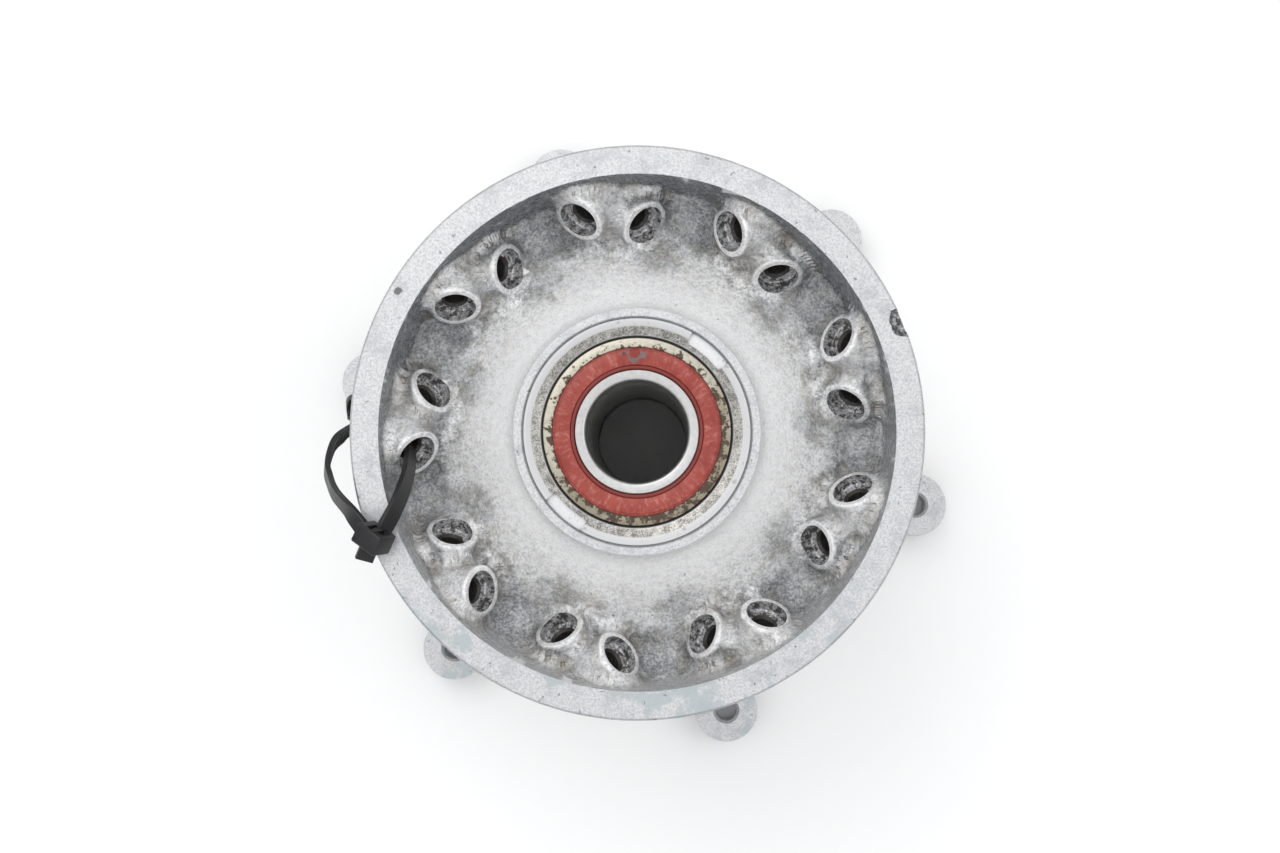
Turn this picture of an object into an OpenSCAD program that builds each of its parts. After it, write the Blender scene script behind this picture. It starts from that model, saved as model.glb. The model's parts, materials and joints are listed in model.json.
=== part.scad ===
// Off-road motorcycle front wheel hub: cast shell with two spoke flanges, sealed bearings,
// distance collar, threaded bearing carrier, and the nylon tie looped through one spoke seat.
// Millimetres. The wheel axis is Z. Z = 0 is the brake disc seating plane of the six ears.

/* [Shell] */
// Height from the disc seating plane to the outer face of the plain flange
hub_h = 97; // [90:1:116]
// Outside diameter of the plain flange
plain_flange_d = 112; // [110:1:135]
// Outside diameter of the disc-side flange
disc_flange_d = 108; // [106:1:116]
// Radial width of each flange's machined rim face
rim_w = 5.6; // [4.5:0.1:6.5]
// Height of the disc-side rim face above the disc seating plane
disc_rim_z = 3; // [1:0.5:4.5]
// Step out from the bearing shoulders to the cast hollow between them
hollow_step = 2.2; // [1.2:0.1:3]
// Wall of the barrel around the cast hollow
barrel_wall = 4.5; // [3.5:0.1:9]

/* [Spoke seats] */
// Pairs of spoke seats on each flange
seat_pairs = 9; // [8:1:9]
// Angle of the first pair on the plain flange
seat_turn = 96.7; // [0:0.1:120]
// Half of the angle between the two seats of a pair
seat_spread = 8.8; // [8:0.1:9.5]
// How far the high seats lie inside the rim's outer edge
high_seat_inset = 12.1; // [11.5:0.1:13]
// How far the low seats lie inside the rim's outer edge
low_seat_inset = 14; // [13.5:0.1:15]
// Depth of the high seats' mouths below the rim face
high_seat_depth = 7.5; // [6.5:0.1:8]
// Depth of the low seats' mouths below the rim face
low_seat_depth = 12.2; // [12:0.1:13]
// Angle between a spoke hole and the wheel axis
seat_lean = 56; // [54:0.5:60]
// Angle between a spoke hole and the radius through its mouth
seat_swing = 48.5; // [46:0.5:50]
// Outside diameter of a seat boss
seat_boss_d = 10.6; // [9.6:0.1:11.2]
// Diameter of the pocket for the spoke head
seat_pocket_d = 8.2; // [7:0.1:8.6]
// Depth of the pocket for the spoke head
seat_pocket_h = 2.4; // [1.8:0.1:4.5]
// Diameter of the spoke hole
spoke_hole_d = 4.4; // [4.2:0.1:4.8]

/* [Disc ears] */
// Number of brake disc ears
ears = 6; // [3:1:8]
// Pitch circle diameter of the disc bolts
ear_pcd = 132; // [130:1:144]
// Angle of the first ear
ear_turn = 47.3; // [0:0.1:60]
// Diameter of an ear's round end
ear_d = 14.8; // [13:0.1:17]
// Thickness of an ear
ear_h = 8; // [7:0.5:10]
// Diameter of the tapped disc bolt hole, at its core
ear_hole_d = 5; // [4.2:0.1:6.8]

/* [Bearings] */
// Bore of a wheel bearing, which is the axle size
bearing_d = 20; // [17:0.5:22]
// Outside diameter of a wheel bearing
bearing_od = 37; // [36:0.5:44]
// Width of a wheel bearing
bearing_w = 9; // [8:0.5:10.5]
// Distance from a bearing's face to its balls
ball_side = 2.12; // [2.1:0.01:2.4]
// Least gap between neighbouring balls along the pitch circle
ball_gap = 2.6; // [2.4:0.1:4]
// Width of an inner ring's face, from the bore to its edge
inner_face_w = 2.05; // [1.8:0.05:2.1]
// Thickness of a bearing seal
seal_t = 0.95; // [0.8:0.05:1]
// Thickness of the cage sheet
cage_t = 0.4; // [0.3:0.05:0.4]
// Diameter of a cage rivet
cage_rivet_d = 0.8; // [0.6:0.05:0.9]

/* [Bearing carrier] */
// Wall of the threaded carrier around the plain-side bearing
carrier_wall = 3.7; // [3.3:0.1:4.4]
// Depth of the bearing's face below the rim face
carrier_sink = 0.5; // [0.3:0.1:1]
// Width of the machined boss end around the carrier
boss_end_w = 1.8; // [1.6:0.1:2.4]
// Angle of the first spanner slot
slot_turn = 48.8; // [0:0.1:180]
// Angle that a spanner slot spans
slot_span = 24; // [14:1:30]
// Depth of a spanner slot
slot_h = 1.4; // [0.8:0.1:2]

/* [Distance collar] */
// Radial gap between the axle and the collar
collar_play = 0.15; // [0.05:0.05:0.3]
// Wall of the collar
collar_wall = 1.85; // [1.4:0.05:2.2]

/* [Disc-side retention] */
// Thickness of the snap ring
snap_t = 1.5; // [1.2:0.1:1.8]
// Depth of the snap ring's groove
snap_groove = 1; // [0.7:0.1:1.2]
// Radial width of the snap ring
snap_w = 2.8; // [2.2:0.1:3]
// Width of the dust seal along the axis
dust_seal_w = 6; // [5:0.5:8]
// Gap between the dust seal and the snap ring
dust_seal_gap = 1.3; // [0.5:0.1:2]
// Wall of the wheel spacer that the dust seal's lip runs on
spacer_wall = 3; // [2.5:0.1:3.5]

/* [Cable tie] */
// How much narrower the strap is than the spoke hole
tie_play = 0.8; // [0.7:0.1:1.6]
// Thickness of the strap
tie_t = 1.1; // [0.9:0.1:1.2]
// Length of the head across the strap's root
tie_head_l = 6.2; // [5.5:0.1:6.4]
// Width of the head
tie_head_w = 5.2; // [4.6:0.1:5.4]
// Thickness of the head along the strap that passes through it
tie_head_t = 4.2; // [3.6:0.1:4.4]

/* [Hidden] */
$fn = 96;
eps = 0.02;

// Fits
press_gap = 0.01;    // radial, between pressed rings and their seats
thread_gap = 0.05;   // radial, between the carrier and the shell
run_gap = 0.05;      // between parts of a bearing that turn past each other
cage_gap = 0.08;     // between a ball and its cage pocket

// Heights of the main faces
rim_z = hub_h;
plain_bearing_z = rim_z - carrier_sink - bearing_w;   // lower face of the plain-side bearing
carrier_lip_h = 1.5;
carrier_z = plain_bearing_z - carrier_lip_h;
boss_end_z = disc_rim_z + 2.5;                        // end of the disc-side boss
dust_z = boss_end_z + 0.7;                            // outer face of the dust seal
disc_bearing_z = dust_z + dust_seal_w + dust_seal_gap + snap_t;
collar_z = disc_bearing_z + bearing_w;

// Radii
plain_r = plain_flange_d / 2;
disc_r = disc_flange_d / 2;
bearing_r = bearing_od / 2;
seat_bore_r = bearing_r + press_gap;
carrier_r = bearing_r + carrier_wall;
boss_r = carrier_r + boss_end_w;
boss_flare = 0.3;                                     // the cast boss widens by this below its end
shoulder_r = bearing_r - 1.7;                         // ledge that a bearing's outer ring rests on
hollow_r = shoulder_r + hollow_step;
barrel_r = hollow_r + barrel_wall;
pitch_r = (bearing_d / 2 + bearing_r) / 2;
ball_r = bearing_w / 2 - ball_side;
ball_count = floor(2 * PI * pitch_r / (2 * ball_r + ball_gap));

// Cross-section of a spoke flange, measured down from its rim face: a bowl around the boss
bowl_depth = low_seat_depth + 5.3;
flange_depth = bowl_depth + 10;
wall_draft = 0.8;
function arc(cx, cy, r, a0, a1, n) =
    [for (i = [0 : n]) let (a = a0 + (a1 - a0) * i / n) [cx + r * cos(a), cy + r * sin(a)]];
function bowl_side(rim_r) = let (wall_r = rim_r - rim_w - wall_draft) concat(
    [[boss_r, 0], [boss_r + boss_flare, -3]],
    arc(boss_r + boss_flare + 3, -3, 3, 180, 222, 4),
    [[wall_r - 14, 3.7 - bowl_depth]],
    arc(wall_r - 6, -bowl_depth + 6, 6, 232, 350, 8),
    [[rim_r - rim_w, 0]]);
function outer_side(rim_r) = concat(
    [[rim_r, 0], [rim_r, -8], [rim_r - 1, -17]],
    arc(rim_r - 5.2, -flange_depth + 4.4, 4.2, -10, -85, 6));

// Half of the shell's outline from the waist up to a rim face
waist_z = (rim_z + disc_rim_z) / 2;
fillet_r = 9;
function half_outline(rim_r, height) = concat(
    [[0, 0], [barrel_r, 0]],
    arc(barrel_r + fillet_r, height - flange_depth - fillet_r - 1.2, fillet_r, 180, 97, 7),
    [for (i = [len(outer_side(rim_r)) - 1 : -1 : 0]) outer_side(rim_r)[i] + [0, height]],
    [for (i = [len(bowl_side(rim_r)) - 1 : -1 : 0]) bowl_side(rim_r)[i] + [0, height]],
    [[0, height]]);

// A spoke hole: its mouth lies at seat_place, and it leaves the hub along seat_dir
function seat_place(rim_r, high, a) = let (r = rim_r - (high ? high_seat_inset : low_seat_inset))
    [r * cos(a), r * sin(a), -(high ? high_seat_depth : low_seat_depth)];
function seat_dir(high, a) = let (u = a + (high ? -seat_swing : seat_swing))
    [sin(seat_lean) * cos(u), sin(seat_lean) * sin(u), -cos(seat_lean)];
function seat_angle(high, k, turn) = turn + 360 / seat_pairs * k + (high ? seat_spread : -seat_spread);

module at_seats(rim_r, turn) {
    for (k = [0 : seat_pairs - 1], high = [true, false]) {
        a = seat_angle(high, k, turn);
        translate(seat_place(rim_r, high, a))
            rotate([0, 0, a + (high ? -seat_swing : seat_swing)])
                rotate([0, 180 - seat_lean, 0])
                    children();
    }
}

seat_boss_l = 10;     // a boss ends inside the flange wall
skirt_r = seat_boss_d / 2 - 0.7;
module seat_bosses(rim_r, turn) {
    at_seats(rim_r, turn) cylinder(d = seat_boss_d, h = seat_boss_l, $fn = 48);
    for (k = [0 : seat_pairs - 1], high = [true, false]) {
        a = seat_angle(high, k, turn);
        p = seat_place(rim_r, high, a) + 5 * seat_dir(high, a);
        translate([p[0], p[1], -bowl_depth - 2])
            cylinder(r = skirt_r, h = p[2] - 3 + bowl_depth + 2, $fn = 48);
    }
}
module seat_cuts(rim_r, turn) {
    at_seats(rim_r, turn) {
        translate([0, 0, -6]) cylinder(d = seat_pocket_d, h = 6 + seat_pocket_h, $fn = 48);
        cylinder(d = spoke_hole_d, h = 30, $fn = 48);
    }
}

// ---- Hub shell ----
ear_root = 0.5 * ear_d + 4.6;  // half of an ear's width where it meets the flange
module ear_ring() {
    for (k = [0 : ears - 1]) rotate([0, 0, ear_turn + 360 / ears * k]) {
        translate([ear_pcd / 2, 0, 0]) cylinder(d = ear_d, h = ear_h);
        translate([0, 0, 0.8]) linear_extrude(ear_h - 1.3) polygon([
            [disc_r - 3, -ear_root], [ear_pcd / 2, 0.4 - ear_d / 2],
            [ear_pcd / 2, ear_d / 2 - 0.4], [disc_r - 3, ear_root]]);
    }
}
module ear_holes() {
    for (k = [0 : ears - 1])
        rotate([0, 0, ear_turn + 360 / ears * k]) translate([ear_pcd / 2, 0, 0]) {
            translate([0, 0, -1]) cylinder(d = ear_hole_d, h = ear_h + 2);
            translate([0, 0, ear_h - 0.5]) cylinder(d1 = ear_hole_d, d2 = ear_hole_d + 1.2, h = 0.6);
        }
}
module through_bore() {
    // Plain side: thread for the carrier, then the cast hollow
    translate([0, 0, carrier_z]) cylinder(r = carrier_r + thread_gap, h = rim_z - carrier_z + 1);
    translate([0, 0, collar_z - 1]) cylinder(r = shoulder_r, h = carrier_z - collar_z + 2);
    rotate_extrude() polygon([
        [0, collar_z + 4], [shoulder_r, collar_z + 4], [hollow_r, collar_z + 8],
        [hollow_r, carrier_z - 8], [shoulder_r, carrier_z - 4], [0, carrier_z - 4]]);
    // Disc side: seat for the bearing, snap ring groove, and dust seal
    translate([0, 0, boss_end_z - 1]) cylinder(r = seat_bore_r, h = collar_z - boss_end_z + 1);
    translate([0, 0, disc_bearing_z - snap_t - run_gap])
        cylinder(r = bearing_r + snap_groove, h = snap_t + 2 * run_gap);
    translate([0, 0, boss_end_z - eps])
        cylinder(r1 = seat_bore_r + 0.6, r2 = seat_bore_r, h = 0.6);
}
module hub_shell() {
    disc_turn = seat_turn + 180 / seat_pairs;
    color("#c9cbcc") difference() {
        union() {
            translate([0, 0, waist_z])
                rotate_extrude() polygon(half_outline(plain_r, rim_z - waist_z));
            translate([0, 0, waist_z + eps / 2]) mirror([0, 0, 1])
                rotate_extrude() polygon(half_outline(disc_r, waist_z - disc_rim_z + eps / 2));
            translate([0, 0, rim_z]) seat_bosses(plain_r, seat_turn);
            translate([0, 0, disc_rim_z]) mirror([0, 0, 1]) seat_bosses(disc_r, disc_turn);
            ear_ring();
        }
        translate([0, 0, rim_z]) seat_cuts(plain_r, seat_turn);
        translate([0, 0, disc_rim_z]) mirror([0, 0, 1]) seat_cuts(disc_r, disc_turn);
        translate([0, 0, disc_rim_z - 3])
            cylinder(r = boss_r + boss_flare + eps, h = boss_end_z - disc_rim_z + 3);
        ear_holes();
        through_bore();
    }
}

// ---- Bearing carrier: a threaded sleeve with two spanner slots in its outer face ----
carrier_top = rim_z - 0.1;
carrier_flat_r = carrier_r - 1.6;  // inner edge of the carrier's flat end
slot_wall_r = carrier_flat_r - 0.8;
module bearing_carrier() {
    color("#b9b6ae") difference() {
        translate([0, 0, carrier_z]) cylinder(r = carrier_r, h = carrier_top - carrier_z);
        translate([0, 0, plain_bearing_z]) cylinder(r = seat_bore_r, h = bearing_w + 5);
        translate([0, 0, carrier_z - 1]) cylinder(r = shoulder_r, h = 5);
        translate([0, 0, carrier_top - 0.7])
            cylinder(r1 = bearing_r + 0.35, r2 = carrier_flat_r, h = 0.7 + eps);
        for (side = [0, 180]) rotate([0, 0, slot_turn + side]) difference() {
            translate([0, 0, carrier_top - slot_h]) linear_extrude(slot_h + 1) polygon(concat(
                [[0, 0]], arc(0, 0, carrier_r + 3, -slot_span / 2, slot_span / 2, 4)));
            translate([0, 0, carrier_top - slot_h - 1]) cylinder(r = slot_wall_r, h = slot_h + 3);
        }
    }
}

// ---- Bearings, each drawn about its own middle plane ----
half_w = bearing_w / 2;
rebate_h = seal_t + 0.35;              // step at each face that a seal sits in
race_r = ball_r + run_gap;
inner_rebate_r = bearing_d / 2 + inner_face_w;
inner_land_r = pitch_r - 0.63 * ball_r;
outer_rebate_r = bearing_r - 2;
outer_land_r = pitch_r + 0.63 * ball_r;
edge = 0.6;                            // chamfer on a ring's edges
seal_z = half_w - rebate_h + run_gap;  // inner face of a seal

module outer_ring() {
    color("#b8b29c") rotate_extrude() difference() {
        polygon([
            [outer_land_r, rebate_h - half_w], [outer_rebate_r, rebate_h - half_w],
            [outer_rebate_r, -half_w], [bearing_r - edge / 2, -half_w], [bearing_r, edge - half_w],
            [bearing_r, half_w - edge], [bearing_r - edge / 2, half_w], [outer_rebate_r, half_w],
            [outer_rebate_r, half_w - rebate_h], [outer_land_r, half_w - rebate_h]]);
        translate([pitch_r, 0]) circle(r = race_r);
    }
}
module inner_ring() {
    color("#d6d5d0") rotate_extrude() difference() {
        polygon([
            [bearing_d / 2, edge - half_w], [bearing_d / 2 + edge, -half_w],
            [inner_rebate_r, -half_w], [inner_rebate_r, rebate_h - half_w],
            [inner_land_r, rebate_h - half_w], [inner_land_r, half_w - rebate_h],
            [inner_rebate_r, half_w - rebate_h], [inner_rebate_r, half_w],
            [bearing_d / 2 + edge, half_w], [bearing_d / 2, half_w - edge]]);
        translate([pitch_r, 0]) circle(r = race_r);
    }
}
module balls() {
    color("#e4e6e8") for (k = [0 : ball_count - 1])
        rotate([0, 0, 360 / ball_count * k]) translate([pitch_r, 0, 0]) sphere(r = ball_r, $fn = 48);
}
cage_in = pitch_r - 0.65;
cage_out = pitch_r + 0.65;
pocket_r = ball_r + cage_gap;
module cage_band(h) {
    difference() {
        cylinder(r = cage_out, h = h);
        translate([0, 0, -1]) cylinder(r = cage_in, h = h + 2);
    }
}
module at_balls() {
    for (k = [0 : ball_count - 1]) rotate([0, 0, 360 / ball_count * k]) children();
}
module cage_half() {
    color("#a08a58") difference() {
        union() {
            cage_band(cage_t);
            intersection() {
                cage_band(pocket_r + cage_t + 1);
                at_balls() rotate([0, 90, 0]) cylinder(r = pocket_r + cage_t, h = cage_out + 1, $fn = 48);
            }
        }
        at_balls() rotate([0, 90, 0]) cylinder(r = pocket_r, h = cage_out + 2, $fn = 48);
        at_balls() rotate([0, 0, 180 / ball_count]) translate([pitch_r, 0, -1])
            cylinder(d = cage_rivet_d, h = cage_t + 2, $fn = 24);
    }
}
module cage_rivets() {
    head_d = cage_rivet_d + 0.4;
    color("#8d7a50") for (k = [0 : ball_count - 1])
        rotate([0, 0, 360 / ball_count * (k + 0.5)]) translate([pitch_r, 0, 0]) {
            translate([0, 0, -cage_t]) cylinder(d = cage_rivet_d, h = 2 * cage_t, $fn = 24);
            translate([0, 0, cage_t]) cylinder(d1 = head_d, d2 = cage_rivet_d, h = 0.25, $fn = 24);
            translate([0, 0, -cage_t - 0.25]) cylinder(d1 = cage_rivet_d, d2 = head_d, h = 0.25, $fn = 24);
        }
}
module seal(tint) {
    lip_r = inner_rebate_r + run_gap;
    top = seal_z + seal_t;
    color(tint) rotate_extrude() polygon([
        [lip_r, seal_z], [outer_rebate_r - press_gap, seal_z],
        [outer_rebate_r - press_gap, top - 0.25], [outer_rebate_r - 0.5, top - 0.25],
        [outer_rebate_r - 0.6, top], [lip_r + 1, top], [lip_r + 0.95, top - 0.3],
        [lip_r + 0.8, top - 0.3], [lip_r + 0.75, top - 0.15], [lip_r + 0.25, top - 0.15],
        [lip_r, top - 0.5]]);
}
module at_plain_bearing() { translate([0, 0, plain_bearing_z + half_w]) children(); }
module at_disc_bearing() { translate([0, 0, disc_bearing_z + half_w]) children(); }

module plain_outer_ring() { at_plain_bearing() outer_ring(); }
module plain_inner_ring() { at_plain_bearing() inner_ring(); }
module plain_balls() { at_plain_bearing() balls(); }
module plain_cage_upper() { at_plain_bearing() cage_half(); }
module plain_cage_lower() { at_plain_bearing() mirror([0, 0, 1]) cage_half(); }
module plain_cage_rivets() { at_plain_bearing() cage_rivets(); }
module plain_seal_outer() { at_plain_bearing() seal("#a9473c"); }
module plain_seal_inner() { at_plain_bearing() mirror([0, 0, 1]) seal("#a9473c"); }
module disc_outer_ring() { at_disc_bearing() outer_ring(); }
module disc_inner_ring() { at_disc_bearing() inner_ring(); }
module disc_balls() { at_disc_bearing() balls(); }
module disc_cage_upper() { at_disc_bearing() cage_half(); }
module disc_cage_lower() { at_disc_bearing() mirror([0, 0, 1]) cage_half(); }
module disc_cage_rivets() { at_disc_bearing() cage_rivets(); }
module disc_seal_outer() { at_disc_bearing() mirror([0, 0, 1]) seal("#a9473c"); }
module disc_seal_inner() { at_disc_bearing() seal("#a9473c"); }

// ---- Distance collar between the two inner rings ----
collar_in = bearing_d / 2 + collar_play;
collar_out = collar_in + collar_wall;
module distance_collar() {
    collar_l = plain_bearing_z - collar_z;
    color("#8f9296") translate([0, 0, collar_z]) rotate_extrude() polygon([
        [collar_in, 0.5], [collar_in + 0.5, 0], [collar_out - 0.4, 0],
        [collar_out, 0.4], [collar_out, collar_l - 0.4], [collar_out - 0.4, collar_l],
        [collar_in + 0.5, collar_l], [collar_in, collar_l - 0.5]]);
}

// ---- Snap ring under the disc-side bearing ----
snap_r = bearing_r + snap_groove - 0.1;
module snap_ring() {
    lug_a = 9;               // half of the gap between the lugs, as an angle
    lug_d = 1.5 * snap_w;
    lug_hole_d = lug_d - 2.4;
    lug_r = snap_r - snap_w;
    color("#3c3d3f") translate([0, 0, disc_bearing_z - snap_t]) difference() {
        union() {
            difference() {
                cylinder(r = snap_r, h = snap_t);
                translate([0, 0, -1]) cylinder(r = snap_r - snap_w, h = snap_t + 2);
            }
            for (s = [-1, 1]) rotate([0, 0, s * (lug_a + 6)])
                translate([lug_r, 0, 0]) cylinder(d = lug_d, h = snap_t, $fn = 48);
        }
        translate([0, 0, -1]) linear_extrude(snap_t + 2) polygon([
            [0, 0], [snap_r + 5, -(snap_r + 5) * tan(lug_a)], [snap_r + 5, (snap_r + 5) * tan(lug_a)]]);
        for (s = [-1, 1]) rotate([0, 0, s * (lug_a + 6)])
            translate([lug_r, 0, -1]) cylinder(d = lug_hole_d, h = snap_t + 2, $fn = 24);
    }
}

// ---- Dust seal with its garter spring ----
lip_r = bearing_d / 2 + spacer_wall;
spring_wire_r = 0.7;
spring_r = lip_r + 2.5;
spring_z = dust_z + dust_seal_w - 2;
module dust_seal() {
    top = dust_z + dust_seal_w;
    color("#2b2b2d") rotate_extrude() difference() {
        polygon([
            [bearing_r, dust_z + 0.4], [bearing_r, top - 0.3], [bearing_r - 0.3, top],
            [bearing_r - 1.6, top], [bearing_r - 1.6, dust_z + 1.8], [lip_r + 2.9, dust_z + 1.8],
            [lip_r + 2.4, top - 0.6], [lip_r + 0.8, top - 0.6], [lip_r, top - 1.8],
            [lip_r, top - 2.4], [lip_r + 0.9, dust_z + 1.6],
            [lip_r + 0.2, dust_z + 0.2], [lip_r + 0.7, dust_z],
            [bearing_r - 0.4, dust_z]]);
        translate([spring_r, spring_z]) circle(r = spring_wire_r + run_gap, $fn = 32);
    }
}
module dust_seal_spring() {
    color("#b5b7ba") rotate_extrude()
        translate([spring_r, spring_z]) circle(r = spring_wire_r, $fn = 32);
}

// ---- Cable tie: its strap goes through one high seat, round the rim, and into its head ----
tie_pair = 2;
tie_w = spoke_hole_d - tie_play;
tie_a = seat_angle(true, tie_pair, seat_turn);
tie_mouth = seat_place(plain_r, true, tie_a) + [0, 0, rim_z];
tie_dir = seat_dir(true, tie_a);
function polar(dr, a, dz) = [(plain_r + dr) * cos(a), (plain_r + dr) * sin(a), rim_z + dz];
function unit(v) = v / norm(v);
// Local directions of the head: the strap's tip passes along slot_dir, its root leaves along root_dir
tie_head = polar(-1.4, tie_a + 16.7, 4.3);
slot_dir = unit([-0.42, -0.85, -0.30]);
root_guess = [-0.80, 0.45, -0.40];
root_dir = unit(root_guess - (root_guess * slot_dir) * slot_dir);
flat_dir = cross(slot_dir, root_dir);
// Stops along the strap: [distance beyond the rim's outer edge, angle, height above the rim face]
// for the free stretches, and distances along the spoke hole for the stretch inside the seat
tip_stops = [[-3.2, 16.1, 3.3], [-6.5, 12.8, 1.9], [-9.3, 8.0, -1.0],
    [1.5 - high_seat_inset, 3.2, 2.8 - high_seat_depth]];
hole_stops = [seat_pocket_h + 0.2, 5, 8, 12, 16, 20];
root_stops = [[2.4, -12.6, -21.2], [2.8, -11.2, -23.6], [2.2, -8.4, -23.0], [1.9, -7.0, -19.0],
    [2.9, -5.6, -14.2], [4.9, -3.4, -11.0], [5.8, 0.6, -7.0], [5.2, 3.4, -4.5],
    [4.1, 6.2, -1.6], [1.6, 10.2, 2.2]];
tie_stops = concat(
    [tie_head + 4.9 * slot_dir, tie_head],
    [for (s = tip_stops) polar(s[0], tie_a + s[1], s[2])],
    [for (t = hole_stops) tie_mouth + t * tie_dir],
    [for (s = root_stops) polar(s[0], tie_a + s[1], s[2])],
    [tie_head + 2.4 * root_dir]);
tie_centre = tie_mouth + [-9, -3, -1];
tie_steps = 4;
function spline(p0, p1, p2, p3, t) =
    0.5 * (2 * p1 + (p2 - p0) * t + (2 * p0 - 5 * p1 + 4 * p2 - p3) * t * t
        + (3 * p1 - p0 - 3 * p2 + p3) * t * t * t);
function stop(i) = tie_stops[max(0, min(len(tie_stops) - 1, i))];
function tie_at(u) = let (i = floor(u), t = u - i) spline(stop(i - 1), stop(i), stop(i + 1), stop(i + 2), t);
tie_rings = (len(tie_stops) - 1) * tie_steps;
tie_points = [for (k = [0 : tie_rings]) tie_at(k / tie_steps)];
module tie_strap() {
    corners = [for (k = [0 : tie_rings])
        let (p = tie_points[k],
             t = unit(tie_points[min(tie_rings, k + 1)] - tie_points[max(0, k - 1)]),
             c = tie_centre - p,
             n = unit(c - (c * t) * t),
             w = cross(t, n))
        for (s = [[-1, -1], [1, -1], [1, 1], [-1, 1]])
            p + s[0] * w * tie_w / 2 + s[1] * n * tie_t / 2];
    last = 4 * tie_rings;
    polyhedron(points = corners, faces = concat(
        [[3, 2, 1, 0], [last, last + 1, last + 2, last + 3]],
        [for (k = [0 : tie_rings - 1], j = [0 : 3])
            let (a = 4 * k + j, b = 4 * k + (j + 1) % 4) each [[a, b + 4, a + 4], [a, b, b + 4]]]));
}
module cable_tie() {
    color("#26272a") {
        tie_strap();
        multmatrix([
            [slot_dir[0], root_dir[0], flat_dir[0], tie_head[0]],
            [slot_dir[1], root_dir[1], flat_dir[1], tie_head[1]],
            [slot_dir[2], root_dir[2], flat_dir[2], tie_head[2]],
            [0, 0, 0, 1]])
            cube([tie_head_t, tie_head_l, tie_head_w], center = true);
    }
}

hub_shell();
bearing_carrier();
plain_outer_ring();
plain_inner_ring();
plain_balls();
plain_cage_upper();
plain_cage_lower();
plain_cage_rivets();
plain_seal_outer();
plain_seal_inner();
disc_outer_ring();
disc_inner_ring();
disc_balls();
disc_cage_upper();
disc_cage_lower();
disc_cage_rivets();
disc_seal_outer();
disc_seal_inner();
distance_collar();
snap_ring();
dust_seal();
dust_seal_spring();
cable_tie();
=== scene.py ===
# %% [markdown]
# # A spoked motorcycle wheel hub
# The hub is one aluminium casting that was machined where things fit it. It holds two sealed ball bearings,
# and a nylon tie hangs from one spoke seat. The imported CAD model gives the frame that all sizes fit. This
# script replaces the pieces whose surface matters with finer meshes and gives every piece its finish.

# %% Frame and units
import json
import math

import bmesh
import bpy
from mathutils import Matrix, Vector, noise


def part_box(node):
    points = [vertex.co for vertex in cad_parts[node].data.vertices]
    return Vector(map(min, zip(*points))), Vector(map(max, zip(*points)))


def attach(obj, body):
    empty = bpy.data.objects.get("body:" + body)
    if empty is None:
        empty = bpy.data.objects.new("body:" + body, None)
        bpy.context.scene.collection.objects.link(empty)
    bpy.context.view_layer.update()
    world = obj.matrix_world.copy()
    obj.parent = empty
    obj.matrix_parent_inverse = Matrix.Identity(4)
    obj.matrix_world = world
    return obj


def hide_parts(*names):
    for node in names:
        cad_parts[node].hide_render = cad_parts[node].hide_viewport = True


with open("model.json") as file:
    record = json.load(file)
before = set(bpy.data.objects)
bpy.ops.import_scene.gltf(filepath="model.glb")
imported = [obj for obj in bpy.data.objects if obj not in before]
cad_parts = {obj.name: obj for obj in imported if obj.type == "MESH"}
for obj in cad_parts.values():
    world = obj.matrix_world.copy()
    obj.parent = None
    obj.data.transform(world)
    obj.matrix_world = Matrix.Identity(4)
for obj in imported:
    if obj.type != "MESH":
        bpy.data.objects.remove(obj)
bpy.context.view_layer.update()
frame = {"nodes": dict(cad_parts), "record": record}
MM = 0.001

# %% [markdown]
# ## Camera
# The hub stands on its six ears and the camera looks down on it, a little off the wheel axis, so that the
# far bearing and the ears show slightly to one side. The camera is turned with its own right, up and back
# directions, which is easier to check than three angles.

# %% Camera
RING_BELOW_RIM, CAMERA_ABOVE = 0.5, 400
rim_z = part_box("plain_inner_ring")[1][2] + RING_BELOW_RIM * MM
camera_place = Vector((6.8 * MM, -13.1 * MM, rim_z + CAMERA_ABOVE * MM))
lean_right, lean_up = 0.01543, -0.03517
right = Vector((math.sqrt(1 - lean_right**2), 0, -lean_right))
up = Vector((right.z * lean_up / right.x, 0, -lean_up))
up.y = math.sqrt(1 - up.x**2 - up.z**2)
back = right.cross(up)
camera_data = bpy.data.cameras.new("camera")
camera_data.sensor_width = 36
camera_data.lens = 57.94
camera_data.clip_start = 0.01
camera = bpy.data.objects.new("camera", camera_data)
turn = Matrix((right, up, back)).transposed().to_4x4()
camera.matrix_world = Matrix.Translation(camera_place) @ turn
bpy.context.scene.collection.objects.link(camera)
bpy.context.scene.camera = camera
print("camera", [round(x, 3) for x in camera_place])

# %% [markdown]
# ## Floor and light
# A white table under a large soft overhead light. The room is bright above and dim near the horizon, so the
# faces that look up are pale and upright walls, which mirror the room's far side, read much darker.

# %% Floor
def new_object(name, bm, *finishes):
    mesh = bpy.data.meshes.new(name)
    bm.to_mesh(mesh)
    bm.free()
    piece = bpy.data.objects.new(name, mesh)
    for finish in finishes:
        mesh.materials.append(finish)
    bpy.context.scene.collection.objects.link(piece)
    return piece


def shader(name):
    """A new material, its node tree, and the Principled shader in it."""
    finish = bpy.data.materials.new(name)
    finish.use_nodes = True
    tree = finish.node_tree
    return finish, tree, tree.nodes["Principled BSDF"]


paper, tree, skin = shader("white_table")
skin.inputs["Base Color"].default_value = (0.99, 0.99, 0.99, 1)
skin.inputs["Roughness"].default_value = 0.9
bm = bmesh.new()
bmesh.ops.create_grid(bm, x_segments=1, y_segments=1, size=3)
floor = new_object("table", bm, paper)

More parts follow.
